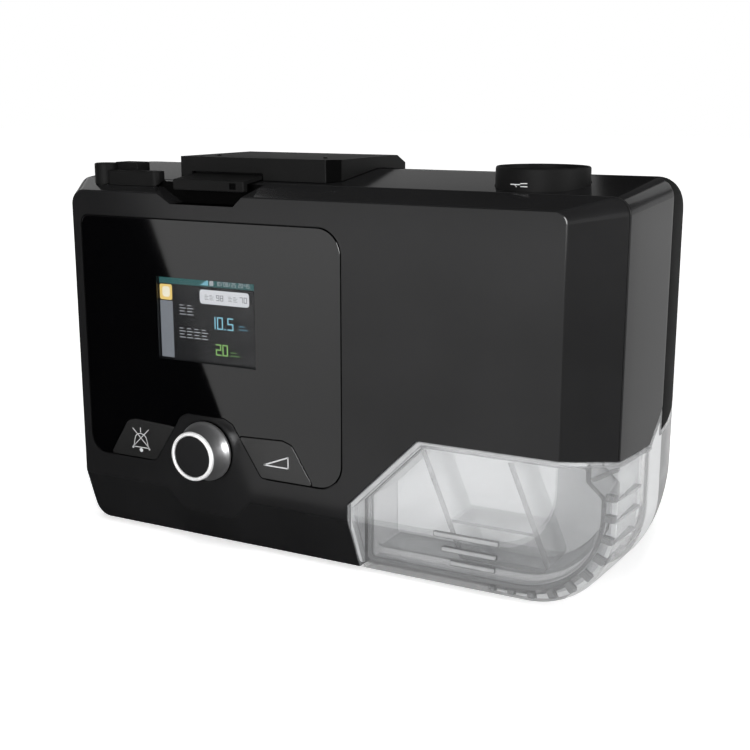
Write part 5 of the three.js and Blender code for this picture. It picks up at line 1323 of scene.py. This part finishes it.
# %% Latch
LATCH_LEFT, LATCH_RIGHT = KNOB_X - 13.8, KNOB_X + 22.7
LATCH_PIN = (18.6, 169.7)
WINDOW = (LATCH_RIGHT - 7.1, LATCH_RIGHT - 3.9, 163.15, 165.75)


# painted shade: the faces inside the window take the near-black
def in_window(face):
    x, z = face.center.x / MM, face.center.z / MM
    return (WINDOW[0] - 0.1 < x < WINDOW[1] + 0.1 and WINDOW[2] - 0.05 < z < WINDOW[3] + 0.05
            and depth_of(face.center) > 0.4)


latch = block("latch_bar", LATCH_LEFT, LATCH_RIGHT, 0.3, 3.5, 162.1, 166.8, 0.8, 0.5)
tongue_view = [(2.5, 165.3), (17.4, 167.0), (18.6, 168.6), LATCH_PIN, (17.4, 168.5), (2.5, 166.8)]
latch = join(latch, prism("tongue", "x", tongue_view, LATCH_LEFT + 0.2, LATCH_RIGHT - 0.2),
             rod("pin", "x", LATCH_PIN, 1.1, LATCH_LEFT - 2.1, LATCH_RIGHT + 2.1, 24))
latch = cut(latch, block("window", *WINDOW[:2], -1, 1.0, *WINDOW[2:]))
finish_piece(latch, "latch", [module_black, painted_shade_black], ["module_latch"])
paint(latch, in_window)
report(latch)

# %% [markdown]
# ## Corner connector
# A small plug fills the left corner of the top. A round barrel holds its pin, and an arm
# and a square block run to the right and back. Like the module, it is cut with the
# casing's form to sit on the slope.

# %% Corner connector
BARREL_PROFILE = [(0, 157.1), (2.6, 157.1), (5.2, 163.3), (5.2, 171.6), (5.0, 171.95),
                  (4.6, 172.1), (0, 172.1)]
plug = turned("connector_barrel", "z", (-114, 9), BARREL_PROFILE, 64)
arm = [(-109.2, 4.8, 0.6), (-82.5, 4.8, 2.6), (-82.5, 12, 2.6), (-112, 12)]
plug = join(plug, prism("arm", "z", rounded(arm, 6), 161.9, 169.2, 0, 0.5),
            block("rear block", -110.8, -98, 11, 20, 161.9, 172.5, 0.8, 0.4))
plug = join(cut(plug, casing_body("plug seat", 0.3)),
            rod("pin", "z", PLUG_PIN, 2.2, 155.5, 171, 24))
finish_piece(plug, "plug", module_black, ["sensor_plug"])
report(plug)

# %% [markdown]
# ## Rear and underside
# The filter door, the rubber flap and the feet can be seen in other views. The door is a
# slatted plate on a pin, the flap a soft tongue, and each foot a rounded rubber disc that
# is set where the solid's own foot lies.

# %% Filter door and flap
DOOR_LOW, DOOR_HIGH, SLATS = 88.4, 137.1, 6
door_left, door_right = FILTER_X - FILTER_HALF + 0.4, FILTER_X + FILTER_HALF - 0.4
door = block("filter_door_plate", door_left, door_right, 112.6, REAR, DOOR_LOW, DOOR_HIGH, 1.0, 0.3)
slat_pitch = (DOOR_HIGH - DOOR_LOW - 8) / SLATS
for i in range(SLATS):
    z = (DOOR_HIGH + DOOR_LOW) / 2 + slat_pitch * (i - (SLATS - 1) / 2)
    door = cut(door, block("slat gap", door_left + 8, door_right - 8, 100, FAR,
                           z - 1.5, z + 1.5, 1.2))
door = join(door, rod("pins", "x", (113.7, 135.1), 1.1, FILTER_X - 26.9, FILTER_X + 26.9, 24))
finish_piece(door, "filter_door", rear_black, ["filter_cover"])
flap = block("port_flap_rubber", -70.7, -53.3, 113.5, REAR, 9.3, 19.7, 0.8, 0.3)
finish_piece(flap, "port_flap", rubber, ["comm_flap"])
report(door, flap)

# %% Feet
FOOT_PROFILE = [(0, 0.35), (4.6, 0.35), (5.0, 0), (6.2, 0), (6.8, 0.3), (7, 0.9), (7, 3), (0, 3)]
for name in ("front_left", "rear_left", "front_right", "rear_right"):
    low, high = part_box("foot_" + name)
    middle = (Vector(low) + Vector(high)) / 2
    foot = turned("rubber_foot_" + name, "z", (middle.x / MM, depth_of(middle)), FOOT_PROFILE, 48)
    finish_piece(foot, "casing", rubber, ["foot_" + name], sharp_angle=60)

# %% [markdown]
# ## Finishes for the solids that stay
# The boards, the blower and the fasteners are hidden or seen only through gaps. Their
# solids are already the right shape, so they keep it and take a finish that suits what
# each one is made of.

# %% Materials for kept solids
KEPT = {
    "grey_plastic": grey_plastic, "steel": steel, "rubber": rubber, "silicone": seal_soft,
    "aluminium": hot_metal, "board_green": board_green, "filter_foam": foam,
    "dark_metal": dark_metal, "casing_black": side_black, "satin_black": module_black,
    "display_black": display_dark, "clear_plastic": tank_milky, "panel_gloss": panel_gloss,
    "display_glass": display_dark, "knob_metal": knob_satin, "knob_cap": cap_dark,
}
for part in frame["record"]["subparts"]:
    solid = nodes[part["node"]]
    solid.data.materials.clear()
    solid.data.materials.append(KEPT[part["material_slot"]])
print("solids with a finish:", len(nodes))

# %% [markdown]
# ## Floor
# The picture is a studio shot on white. The floor takes the machine's shadow, and it
# glows for a camera ray, a mirror ray or a ray through glass, so that it is white there.
# The glow is weaker near the machine, where the shadow has to show.

# %% Floor
def stage_plane(name, corners, material):
    mesh = bpy.data.meshes.new(name)
    mesh.from_pydata([tuple(c) for c in corners], [], [tuple(range(len(corners)))])
    obj = link_mesh(name, mesh)
    obj.data.materials.append(material)
    return obj


def math_node(tree, operation, *sources):
    node = add_node(tree, "Math")
    node.operation = operation
    wire(tree, *zip(sources, node.inputs))
    return node


WHITE, SPAN = (1, 1, 1, 1), 6.0
floor_white, tree, shader = bare_material(
    "white floor", Roughness=0.9, Specular_IOR_Level=0.0, Base_Color=(0.9, 0.9, 0.9, 1),
    Emission_Color=WHITE)
ray = add_node(tree, "LightPath").outputs
away = add_node(tree, "VectorMath")
away.operation = "LENGTH"
wire(tree, (object_coordinates(tree), away.inputs[0]))
through = math_node(tree, "MAXIMUM", ray["Is Glossy Ray"], ray["Is Transmission Ray"])
indirect = math_node(tree, "MULTIPLY", through.outputs["Value"])
direct = math_node(tree, "MULTIPLY", ray["Is Camera Ray"])
spread(tree, away.outputs["Value"], 0.42, 1.0, indirect.inputs[1], (0.3, 1.6))
spread(tree, away.outputs["Value"], 0.64, 1.0, direct.inputs[1], (0.3, 1.2))
glow = math_node(tree, "MAXIMUM", indirect.outputs["Value"], direct.outputs["Value"])
wire(tree, (glow.outputs["Value"], shader.inputs["Emission Strength"]))
stage_plane("floor", [(-SPAN, -SPAN, 0), (SPAN, -SPAN, 0), (SPAN, SPAN, 0), (-SPAN, SPAN, 0)],
            floor_white)
print("floor half width, metres:", SPAN)

# %% [markdown]
# ## Sky
# Gloss black shows what stands round it more than its own colour. So the sky is white
# low down and darkens upwards, and the casing's top stays black. A ramp over the height
# of the direction does that.

# %% Sky
SKY_STEPS = [(0.13, 1.0), (0.2, 0.4), (0.3, 0.23), (0.42, 0.09), (0.64, 0.02)]
world = bpy.data.worlds.new("studio")
bpy.context.scene.world = world
world.use_nodes = True
sky = world.node_tree
background = sky.nodes["Background"]
fill(background, Strength=1.0)
split, ramp = add_node(sky, "SeparateXYZ"), add_node(sky, "ValToRGB")
while len(ramp.color_ramp.elements) < len(SKY_STEPS):
    ramp.color_ramp.elements.new(0.5)
for element, (height, brightness) in zip(ramp.color_ramp.elements, SKY_STEPS):
    element.position = height
    element.color = (brightness, brightness, brightness, 1)
wire(sky, (add_node(sky, "TexCoord").outputs["Generated"], split.inputs[0]),
     (split.outputs["Z"], ramp.inputs["Fac"]), (ramp.outputs["Color"], background.inputs["Color"]))
print("sky steps:", len(SKY_STEPS))

# %% [markdown]
# ## Cloths and cards out of view
# A photographer sets dark cloths round a gloss object to shape what it mirrors. Here
# they lie where the panel, the facet and the top look, and two pale cards give the side
# and the corner their sheen. The camera can't see any of them and they cast no shadow.

# %% Cloths and cards out of view
def hidden_sheet(name, corners, finish):
    sheet = stage_plane(name, [Vector(c) * MM for c in corners], finish)
    sheet.visible_camera = sheet.visible_shadow = sheet.visible_diffuse = False


def cloth(name, corners, brightness):
    hidden_sheet(name, corners, moulded(name, [brightness] * 3, 0.9, 0.1, 50.0,
                                        Specular_IOR_Level=0.0))


def pale_card(name, corners, brightness):
    hidden_sheet(name, corners, bare_material(name, Roughness=0.9, Emission_Color=WHITE,
                                              Emission_Strength=brightness)[0])


CLOTH_BLACK, CLOTH_GREY = 0.002, 0.4
cloth("black_floor_cloth", [
    (-150, -20, 1), (-150, 300, 1), (-4000, 300, 1), (-4000, -2195, 1), (-1840, -2195, 1),
    (-480, -590, 1), (-158, -212, 1), (-85, -128, 1), (20, -128, 1), (45, -235, 1),
    (150, -235, 1), (150, -20, 1)], CLOTH_BLACK)
cloth("grey_floor_cloth", [(151, -236, 1), (260, -1200, 1), (1600, -2600, 1), (1600, -900, 1),
                           (136, -40, 1)], CLOTH_GREY)
cloth("black_back_card", [(-235, 1000, 300), (-70, 1000, 300), (-70, 1000, 900),
                          (-235, 1000, 900)], CLOTH_BLACK)
cloth("black_far_card", [(-1840, -2195, 0), (-4000, -2195, 0), (-4000, -2195, 700),
                         (-1840, -2195, 700)], CLOTH_BLACK)
pale_card("pale_side_card", [(-960, 700, 700), (-2000, 400, 700), (-2000, 400, 1600),
                             (-960, 700, 1600)], 0.5)
pale_card("pale_corner_card", [(330, 1290, 560), (800, 1290, 560), (800, 1290, 1100),
                               (330, 1290, 1100)], 0.22)

# %% [markdown]
# ## Lamps
# Three soft lamps keep colours at about their written value: a low one for the front,
# one at the right for the side and a high one for the shadow on the floor. The high one
# is left out of reflections, so that it makes no bright spot on the top.


# %% Lamps
def soft_lamp(name, place, target, size, power):
    light = bpy.data.lights.new(name, "AREA")
    light.shape = "DISK"
    light.size = size
    light.energy = power
    lamp = bpy.data.objects.new(name, light)
    lamp.location = place
    towards = Vector(target) - Vector(place)
    lamp.rotation_euler = towards.to_track_quat("-Z", "Y").to_euler()
    bpy.context.scene.collection.objects.link(lamp)
    return lamp


soft_lamp("low_lamp", (0.33, -1.84, 0.34), (0.03, 0, 0.06), 0.6, 22)
soft_lamp("side_lamp", (1.9, -0.25, 0.5), (0.05, 0, 0.06), 0.6, 18)
high_lamp = soft_lamp("high_lamp", (0.3, -0.7, 1.8), (0, 0, 0.05), 1.0, 18)
high_lamp.visible_glossy = False
print("lamps:", len(bpy.data.lights))

# %% [markdown]
# ## Camera
# The camera stands to the right of the machine and a little above. Its place, direction
# and lens were fitted to the casing's edges in the photo. The many clear walls behind
# each other need more transparent bounces than usual.

# %% Camera
camera_data = bpy.data.cameras.new("camera")
camera_data.lens = 57.94
camera_data.sensor_width = 36
camera = bpy.data.objects.new("camera", camera_data)
bpy.context.scene.collection.objects.link(camera)
camera.location = (0.2522, -0.4717, 0.2002)
looking = Vector((-0.4591, 0.8599, -0.2232))
camera.rotation_euler = looking.to_track_quat("-Z", "Y").to_euler()
bpy.context.scene.camera = camera
bpy.context.scene.view_settings.view_transform = "Standard"
bpy.context.scene.cycles.transparent_max_bounces = 32
print("camera:", tuple(camera.location), "lens:", camera_data.lens)
